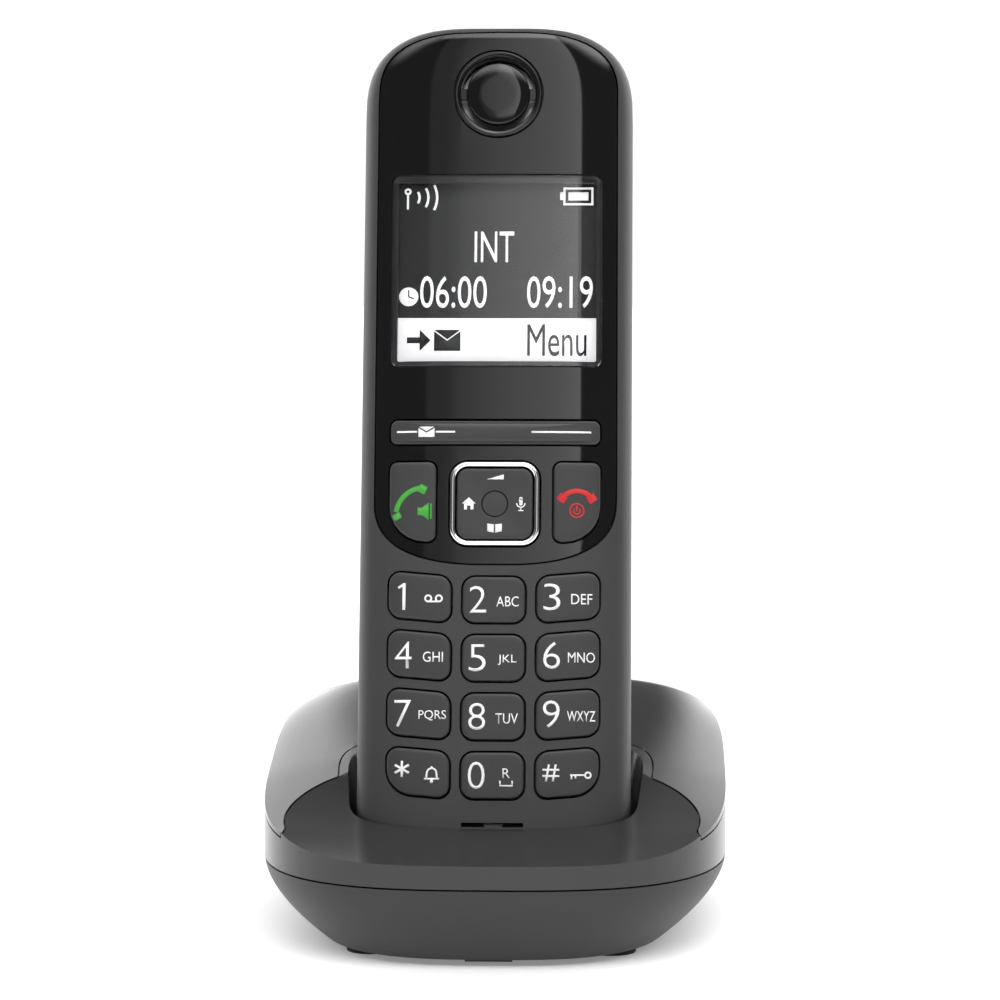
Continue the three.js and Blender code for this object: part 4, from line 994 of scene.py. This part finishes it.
pad_signs = [
    plate((-1.5, NAV_Y + 4.4), (1.6, NAV_Y + 4.4), (1.6, NAV_Y + 5.3)),
    plate((-5.9, NAV_Y), (-4.65, NAV_Y + 1.15), (-3.4, NAV_Y)),
    bar(-5.5, NAV_Y - 1.1, -4.95, NAV_Y), bar(-4.35, NAV_Y - 1.1, -3.8, NAV_Y),
    bar(-5.0, NAV_Y - 0.4, -4.3, NAV_Y),
    bar(4.35, NAV_Y + 0.0, 5.0, NAV_Y + 0.9), dot(4.675, NAV_Y + 0.9, 0.325), dot(4.675, NAV_Y, 0.325),
    arc(4.675, NAV_Y + 0.1, 0.75, 0.22, 180, 360, 12), bar(4.57, NAV_Y - 1.2, 4.78, NAV_Y - 0.6),
    bar(4.2, NAV_Y - 1.35, 5.15, NAV_Y - 1.15),
    plate((-1.3, NAV_Y - 5.0), (-0.12, NAV_Y - 5.25), (-0.12, NAV_Y - 3.75), (-1.3, NAV_Y - 3.6)),
    plate((0.12, NAV_Y - 5.25), (1.3, NAV_Y - 5.0), (1.3, NAV_Y - 3.6), (0.12, NAV_Y - 3.75)),
]
printed("sign_pad", pad_signs, print_white, "nav_pad", pad_height)

# %% [markdown]
# ## Display
# The module is a dark glass whose lit characters lie just under the window: a signal mark, a
# battery mark, a name, two times and a white strip with a menu sign and a menu word in dark print.

# %% Display
lcd_low, lcd_high = reach("display_module")


def display_body():
    return block(lcd_low, lcd_high)


piece("display_glass", display_body(), HANDSET, lcd_dark, "handset", ["display_module"], edge=0.15)


def on_display(x, y):
    return lcd_high.z


ACTIVE_HALF_WIDTH = 18.25
ACTIVE_LOW = 90.85
ACTIVE_HIGH = 124.6
MASK_UNDER = 0.75
MASK_THICKNESS = 0.45
CHARACTER_SHIFT = Vector((-0.1, 0.55, 0))
mask_top = window_low.z - MASK_UNDER
mask = solid(prism(window_outline(), mask_top - MASK_THICKNESS, mask_top, y=WINDOW_Y))
combine(mask, block((-ACTIVE_HALF_WIDTH, ACTIVE_LOW, -FAR), (ACTIVE_HALF_WIDTH, ACTIVE_HIGH, FAR)))
piece("window_mask", mask, HANDSET, gloss_black, "handset")

lit = [
    stroke((-16.3, 119.2), (-16.3, 122.2), 0.35), arc(-16.3, 122.5, 0.45, 0.35),
    *[arc(-16.1, 121.4, 1.9 + 1.6 * i, 0.42, -33 + 3 * i, 33 - 3 * i, 10) for i in range(3)],
    bar(11.4, 121.0, 12.0, 122.4), bar(12.0, 120.0, 17.4, 120.35), bar(12.0, 122.95, 17.4, 123.3),
    bar(12.0, 120.0, 12.35, 123.3), bar(17.05, 120.0, 17.4, 123.3), bar(12.9, 120.9, 16.5, 122.4),
    lettering("INT", -0.5, 112.25, 5.7, 7.2),
    arc(-15.95, 102.95, 0.87, 1.74), lettering("06:00", -7.85, 103.85, 5.9, 12.1),
    lettering("09:19", 11.45, 103.85, 5.9, 11.9),
    bar(-18.6, 90.2, 18.6, 99.0),
]
for sign in lit:
    bmesh.ops.translate(sign, vec=CHARACTER_SHIFT, verts=sign.verts)
printed("characters", lit, lcd_white, "handset", on_display)
dark = [
    bar(-16.2, 94.35, -13.7, 95.45), plate((-13.9, 92.9), (-11.9, 94.9), (-13.9, 96.9)),
    *envelope_sign(-8.9, 94.9, 4.8, 3.9), lettering("Menu", 10.95, 94.95, 5.9, 10.7),
    stroke((-15.95, 102.95), (-15.95, 104.2), 0.24), stroke((-16.0, 102.95), (-15.0, 102.6), 0.24),
]
for sign in dark:
    bmesh.ops.translate(sign, vec=CHARACTER_SHIFT, verts=sign.verts)
printed("menu_words", dark, lcd_dark, "handset", on_display, lift=PRINT_LIFT + 0.06)

# %% [markdown]
# ## The base
# In plan it is a superellipse, fuller at the back. Its side band climbs towards the back, and
# above it a gloss cover is crowned. A facet cuts the front: it gets steeper towards the pocket,
# in which the handset stands, and curves up towards its sides. Each surface is a formula,
# drawn as a loft and cut by the next one.

# %% Base surfaces
FRONT_SQUARENESS = 2.85
BACK_SQUARENESS = 4
OUTLINE_CORNERS = 160
PARTING_Z = 14.3
FLOOR_Z = 1.2
BASE_WALL = 2.2
BASE_FLOOR = 2.4
SHOULDER_Y = 16 - BASE_HALF_DEPTH
SHOULDER_Z = 20.3
BAND_RISE = 13
CLIMB_LENGTH = 69
CLIMB_CURVE = 1.2
COVER_TIP = 0.8
COVER_BACK = 1.8
TIP_LENGTH = 30
CROWN_FRONT = 4.7
CROWN_BACK = 2.6
CROWN_CURVE_FRONT = 1.5
CROWN_CURVE_BACK = 12
CREASE_Y = 2 - BASE_HALF_DEPTH
CREASE_Z = 18.5
FACET_SLOPE = 0.06
FACET_CURVE = 0.00013
FACET_SCOOP = 0.0012
SCOOP_LENGTH = 17
FACET_BACK_Y = -8
CROWN_RINGS = [1, 0.995, 0.985, 0.97, 0.95, 0.92, 0.88, 0.82, 0.74, 0.64, 0.5, 0.34, 0.16, 0.03]


def between(low, high, share):
    return low + (high - low) * min(max(share, 0), 1)


def outline(i):
    angle = math.tau * i / OUTLINE_CORNERS
    power = 2 / (FRONT_SQUARENESS if math.sin(angle) < -1e-9 else BACK_SQUARENESS)
    x = BASE_HALF_WIDTH * powered(math.cos(angle), power)
    y = BASE_HALF_DEPTH * powered(math.sin(angle), power)
    return x, y


def band_top(y):
    return SHOULDER_Z + BAND_RISE * (max(0, y - SHOULDER_Y) / CLIMB_LENGTH) ** CLIMB_CURVE


def cover_thickness(y):
    return between(COVER_TIP, COVER_BACK, (y - SHOULDER_Y) / TIP_LENGTH)


def crown_top(y, ring):
    along = min(max((y + BASE_HALF_DEPTH) / (2 * BASE_HALF_DEPTH), 0), 1)
    crown = between(CROWN_FRONT, CROWN_BACK, along)
    curve = between(CROWN_CURVE_FRONT, CROWN_CURVE_BACK, along * along)
    return band_top(y) + cover_thickness(y) + crown * (1 - ring**curve)


def facet_top(x, y):
    back = max(0, y - CREASE_Y)
    scoop = FACET_SCOOP * min(1, back / SCOOP_LENGTH) * x**2
    return CREASE_Z + FACET_SLOPE * back + FACET_CURVE * back**3 + scoop


def crown_body(inset, lowered, foot, bare=False):
    """The upper body from foot to crown, its walls drawn in and its top lowered."""
    shrink_x = 1 - inset / BASE_HALF_WIDTH
    shrink_y = 1 - inset / BASE_HALF_DEPTH

    def place(i, level):
        x, y = outline(i)
        if level == 0:
            return x * shrink_x, y * shrink_y, foot
        ring = CROWN_RINGS[level - 1]
        y = y * shrink_y * ring
        under = lowered + (cover_thickness(y) if bare else 0)
        return x * shrink_x * ring, y, crown_top(y, ring) - under

    return loft(OUTLINE_CORNERS, len(CROWN_RINGS) + 1, place)


def facet_body(lowered, steps=60):
    """Everything below the facet: a curved sheet, extruded down."""
    start = CREASE_Y - 12
    length = 25 - start
    bm = bmesh.new()
    bmesh.ops.create_grid(bm, x_segments=48, y_segments=steps, size=0.5)
    for v in bm.verts:
        x = v.co.x * 3 * BASE_HALF_WIDTH
        y = start + (v.co.y + 0.5) * length
        v.co = (x, y, facet_top(x, y) - lowered)
    made = bmesh.ops.extrude_face_region(bm, geom=list(bm.faces))["geom"]
    for v in made:
        if isinstance(v, bmesh.types.BMVert):
            v.co.z = -FAR
    bmesh.ops.recalc_face_normals(bm, faces=bm.faces)
    behind = block((-2 * BASE_HALF_WIDTH, 24.5, -FAR - 1), (2 * BASE_HALF_WIDTH, 2 * FAR, 2 * FAR))
    return combine(solid(bm), behind, "UNION")


def facet_half_width(y):
    squareness = FRONT_SQUARENESS if y < 0 else BACK_SQUARENESS
    along = abs(y / BASE_HALF_DEPTH) ** squareness

    def rise(x):
        ring = ((x / BASE_HALF_WIDTH) ** squareness + along) ** (1 / squareness)
        return crown_top(y, min(1, ring)) - facet_top(x, y)

    low = 0
    high = BASE_HALF_WIDTH * max(0, 1 - along) ** (1 / squareness)
    if rise(high) > 0:
        return 2 * BASE_HALF_WIDTH
    for _ in range(40):
        middle = (low + high) / 2
        if rise(middle) > 0:
            low = middle
        else:
            high = middle
    return low


def facet_plan(grow, steps=70):
    right = []
    for i in range(steps + 1):
        y = between(-BASE_HALF_DEPTH, FACET_BACK_Y, i / steps)
        right.append((facet_half_width(y) + grow, y + grow))
    left = [(-x, y) for x, y in reversed(right)]
    corner = 2 * BASE_HALF_WIDTH
    points = [(-corner, -2 * BASE_HALF_DEPTH), (corner, -2 * BASE_HALF_DEPTH), *right, *left]
    return prism(points, 0, 2 * FAR)


def section_tube(grow, low, corners=SECTION_CORNERS):
    """A tube round the handset's foot, in the base's frame."""
    heights = [low, 8, 60]
    rear = rear_depth(22)
    to_base = BASE.inverted() @ HANDSET

    def place(i, level):
        x, z = section(i, corners)
        flare = 1.6 * (60 - 8) / FOOT_END if level == 2 else 0
        depth = FRONT_DEPTH + grow if z > 0 else rear + grow + flare
        return to_base @ Vector((x * (HALF_WIDTH + grow + flare), heights[level], z * depth))

    return loft(corners, len(heights), place)


# %% [markdown]
# The upper shell carries the side band, the facet and the pocket. The gloss cover is the part
# of the crown behind the facet, round the pocket.

# %% Upper shell and cover
WELL_CLEARANCE = 0.8
WELL_WALL = 1.6
WELL_FLOOR = -1.2
parting_top = PARTING_Z + GAP / 2


def upper_shell():
    shell = solid(block((-FAR, -FAR, parting_top), (FAR, FAR, FAR)))
    inner = solid(crown_body(BASE_WALL, GAP + BASE_WALL, -1, True))
    combine(inner, facet_body(BASE_WALL), "INTERSECT")
    combine(shell, inner)
    combine(shell, section_tube(WELL_CLEARANCE + WELL_WALL, WELL_FLOOR - WELL_WALL), "UNION")
    envelope = combine(solid(crown_body(0, 0, 0)), facet_body(0), "INTERSECT")
    combine(shell, envelope, "INTERSECT")
    room = solid(block((-FAR, -FAR, parting_top - 1), (FAR, FAR, FAR)))
    combine(room, crown_body(-1, GAP, 0, True))
    combine(room, facet_plan(-GAP))
    combine(room, section_tube(WELL_CLEARANCE + WELL_WALL, WELL_FLOOR - WELL_WALL))
    combine(shell, room)
    combine(shell, section_tube(WELL_CLEARANCE, WELL_FLOOR))
    key_low, key_high = reach("paging_key", BASE)
    margin = Vector((GAP, 5, GAP))
    combine(shell, block(key_low - margin, key_high + margin))
    slots = []
    for side in (-1, 1):
        slot = block((side * 8 - 1.5, -5, -6.3), (side * 8 + 1.5, 1, -1.7))
        bmesh.ops.transform(slot, matrix=BASE.inverted() @ HANDSET, verts=slot.verts)
        slots.append(slot)
    combine(shell, together(*slots))
    return shell


piece("upper_shell", upper_shell(), BASE, shell_plastic, "base",
      ["base_upper_shell"], edge=0.25, bend=28)


def cover():
    skin = combine(solid(crown_body(0, 0, parting_top)), crown_body(-1, 0, 0, True))
    combine(skin, facet_plan(0))
    combine(skin, section_tube(WELL_CLEARANCE + WELL_WALL + GAP, WELL_FLOOR - WELL_WALL))
    combine(skin, block((-FAR, SHOULDER_Y, -FAR), (FAR, FAR, 2 * FAR)), "INTERSECT")
    return skin


piece("top_cover", cover(), BASE, gloss_cover, "base",
      ["base_gloss_cover"], edge=0.15, bend=40)

# %% [markdown]
# The lower shell is a bowl that draws in towards a flat floor. Feet, screws and sockets come
# from the frame, so their openings are measured there.

# %% Lower shell
BOWL_LEVELS = 22
BOWL_DRAW_X = 10.3
BOWL_DRAW_Y = 5.6
BOWL_CURVE = 1.66


def bowl(inset, low, high):
    def place(i, level):
        x, y = outline(i)
        up = (level / (BOWL_LEVELS - 1)) ** 1.6
        draw = (1 - up) ** BOWL_CURVE
        scale_x = 1 - (inset + BOWL_DRAW_X * draw) / BASE_HALF_WIDTH
        scale_y = 1 - (inset + BOWL_DRAW_Y * draw) / BASE_HALF_DEPTH
        return x * scale_x, y * scale_y, between(low, high, up)

    return loft(OUTLINE_CORNERS, BOWL_LEVELS, place)


def lower_shell():
    top = PARTING_Z - GAP / 2
    shell = solid(bowl(0, FLOOR_Z, top))
    rib_y = BOWL_DRAW_Y - BASE_HALF_DEPTH
    rib = loft(4, 2, lambda i, level: (
        (4.4, 4.4, -4.4, -4.4)[i] * (0.93, 1)[level], rib_y + (2, 4, 4, 2)[i], FLOOR_Z + (-0.7, 0.6)[level]
    ))
    combine(shell, rib, "UNION")
    combine(shell, bowl(BASE_WALL, FLOOR_Z + BASE_FLOOR, top + 1))
    cutters = []
    for name in ("foot_front_left", "foot_front_right", "foot_back_left", "foot_back_right"):
        low, high = reach(name, BASE)
        middle = (low + high) / 2
        cutters.append(disc((high.x - low.x) / 2 + GAP, -1, high.z + GAP, middle.x, middle.y))
    for name in ("base_screw_left", "base_screw_right"):
        low, high = reach(name, BASE)
        middle = (low + high) / 2
        cutters.append(disc((high.x - low.x) / 2 + GAP, -1, low.z + 1.3, middle.x, middle.y))
    combine(shell, together(*cutters))
    bores = []
    for name in ("base_screw_left", "base_screw_right"):
        low, high = reach(name, BASE)
        middle = (low + high) / 2
        bores.append(disc(1.7, 0, 8, middle.x, middle.y))
    combine(shell, together(*bores))
    for name in ("power_socket", "line_socket"):
        low, high = reach(name, BASE)
        combine(shell, block(low - Vector((GAP, GAP, GAP)), high + Vector((GAP, 20, GAP))))
    return shell


piece("lower_shell", lower_shell(), BASE, base_plastic, "base",
      ["base_lower_shell"], edge=0.25, bend=28)

# %% [markdown]
# ## What is carried over
# The small inner pieces, the feet and the screws keep their own solids and only get finishes.

# %% Finishes of the frame's own pieces
CARRIED = {
    board: ["handset_circuit_board", "base_circuit_board"],
    steel: ["handset_radio_shield", "base_radio_shield", "ringer_speaker", "earpiece_speaker", "microphone",
            "battery_contact_left", "battery_contact_right", "battery_link_plate", "handset_screw_left",
            "handset_screw_right", "base_screw_left", "base_screw_right"],
    gold: ["charge_pad_left", "charge_pad_right", "charge_contact_left", "charge_contact_right"],
    silicone: ["keypad_mat"],
    rubber: ["foot_front_left", "foot_front_right", "foot_back_left", "foot_back_right"],
    cell_jacket: ["battery_cell_left", "battery_cell_right"],
    socket_plastic: ["power_socket", "line_socket"],
    key_plastic: ["paging_key"],
}
for material, names in CARRIED.items():
    for name in names:
        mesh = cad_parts[name].data
        mesh.materials.clear()
        mesh.materials.append(material)
print(sum(len(names) for names in CARRIED.values()), "solids carried over")

# %% [markdown]
# ## Studio
# The phone stands on a pale floor, which glows a little. The light is soft: a pale horizon all
# round, a large panel high in front and a narrow one within it, brighter to the right and cut
# off sharply on that side, which gives the gloss front its tall gradient. Two wide panels
# behind, one to each side, shine on the base's cover. The sky's own shader makes them all,
# from the direction.

# %% Floor
floor_shape = bmesh.new()
bmesh.ops.create_grid(floor_shape, x_segments=2, y_segments=2, size=3)
floor = solid(floor_shape, "floor")
pale = finish("pale_floor", (0.9, 0.9, 0.9), 0.9, grain=200, cloud=0.01, Emission_Strength=0.22)
pale.node_tree.nodes["Principled BSDF"].inputs["Emission Color"].default_value = (1, 1, 1, 1)
floor.data.materials.append(pale)

# %% Sky
world = bpy.data.worlds.new("studio")
bpy.context.scene.world = world
world.use_nodes = True
sky = world.node_tree


def node(kind, **values):
    made = sky.nodes.new(kind)
    for key, value in values.items():
        setattr(made, key, value)
    return made


def maths(operation, first, second=0.0, third=0.0):
    made = node("ShaderNodeMath", operation=operation)
    for i, value in enumerate((first, second, third)):
        if isinstance(value, (int, float)):
            made.inputs[i].default_value = value
        else:
            sky.links.new(value, made.inputs[i])
    return made.outputs[0]


def ramp(value, low, high, start=0.0, end=1.0, smooth=True):
    """From start to end while value goes from low to high."""
    made = node("ShaderNodeMapRange", interpolation_type="SMOOTHSTEP" if smooth else "LINEAR")
    sky.links.new(value, made.inputs["Value"])
    for socket, number in (("From Min", low), ("From Max", high), ("To Min", start), ("To Max", end)):
        made.inputs[socket].default_value = number
    return made.outputs["Result"]


def window_of(value, low, high, soft_low, soft_high):
    """1 between low and high, with soft or sharp sides."""
    rise = ramp(value, low - soft_low, low + soft_low)
    fall = ramp(value, high - soft_high, high + soft_high, 1.0, 0.0)
    return maths("MULTIPLY", rise, fall)


direction = node("ShaderNodeTexCoord").outputs["Generated"]
split = node("ShaderNodeSeparateXYZ")
sky.links.new(direction, split.inputs[0])
east, north, up = split.outputs
degrees = 180 / math.pi
elevation = maths("MULTIPLY", maths("ARCSINE", up), degrees)
turn = maths("MULTIPLY", maths("ARCTAN2", east, maths("MULTIPLY", north, -1.0)), degrees)
behind = ramp(north, -0.2, 0.3)
horizon = maths("MULTIPLY", ramp(elevation, 4, 11, 1.0, 0.12), maths("MULTIPLY_ADD", behind, 0.75, 0.25))
tall_panel = maths("MULTIPLY_ADD", ramp(turn, -5, -0.5), 1.2, 0.27)
tall_panel = maths("MULTIPLY_ADD", ramp(turn, -0.5, 9.5, smooth=False), 0.8, tall_panel)
tall_panel = maths("MULTIPLY", tall_panel, window_of(turn, -8.3, 9.6, 0.5, 0.4))
tall_panel = maths("MULTIPLY", tall_panel, window_of(elevation, 14, 80, 4, 6))
high_panel = maths("MULTIPLY", window_of(elevation, 42, 80, 6, 6), window_of(turn, -65, 65, 20, 6))
high_panel = maths("MULTIPLY", high_panel, ramp(turn, -80, 60, 0.55, 1.3, False))
sideways = ramp(maths("ABSOLUTE", east), 0.05, 0.2)
back_panel = maths("MULTIPLY", window_of(elevation, 6, 75, 3, 8), ramp(north, -0.1, 0.3))
back_panel = maths("MULTIPLY", back_panel, maths("MULTIPLY", sideways, ramp(elevation, 8, 45, 2.6, 1.6)))
strength = maths("MULTIPLY_ADD", horizon, 1.0, 0.07)
strength = maths("MULTIPLY_ADD", tall_panel, 1.0, strength)
strength = maths("MULTIPLY_ADD", high_panel, 3.6, strength)
strength = maths("ADD", back_panel, strength)
background = sky.nodes["Background"]
background.inputs["Color"].default_value = (1, 1, 1, 1)
sky.links.new(strength, background.inputs["Strength"])
print("studio sky", len(sky.nodes), "nodes")

# %% [markdown]
# The camera stands seven tenths of a metre away, almost level with the handset's middle and a
# little to the right, with a long lens that keeps the sides nearly parallel.

# %% Camera
DISTANCE = 0.7
EYE_RISE = math.radians(5)
EYE_TURN = math.radians(2)
target = Vector((0.55, 0, 77)) * MM
back = Vector((
    math.sin(EYE_TURN) * math.cos(EYE_RISE), -math.cos(EYE_TURN) * math.cos(EYE_RISE), math.sin(EYE_RISE)
))
lens_data = bpy.data.cameras.new("camera")
lens_data.lens = 138.6
lens_data.sensor_width = 36
lens_data.clip_start = 0.01
camera = bpy.data.objects.new("camera", lens_data)
camera.location = target + back * DISTANCE
camera.rotation_euler = back.to_track_quat("Z", "Y").to_euler()
bpy.context.scene.collection.objects.link(camera)
bpy.context.scene.camera = camera

# %% Colour view
bpy.context.scene.view_settings.view_transform = "Standard"
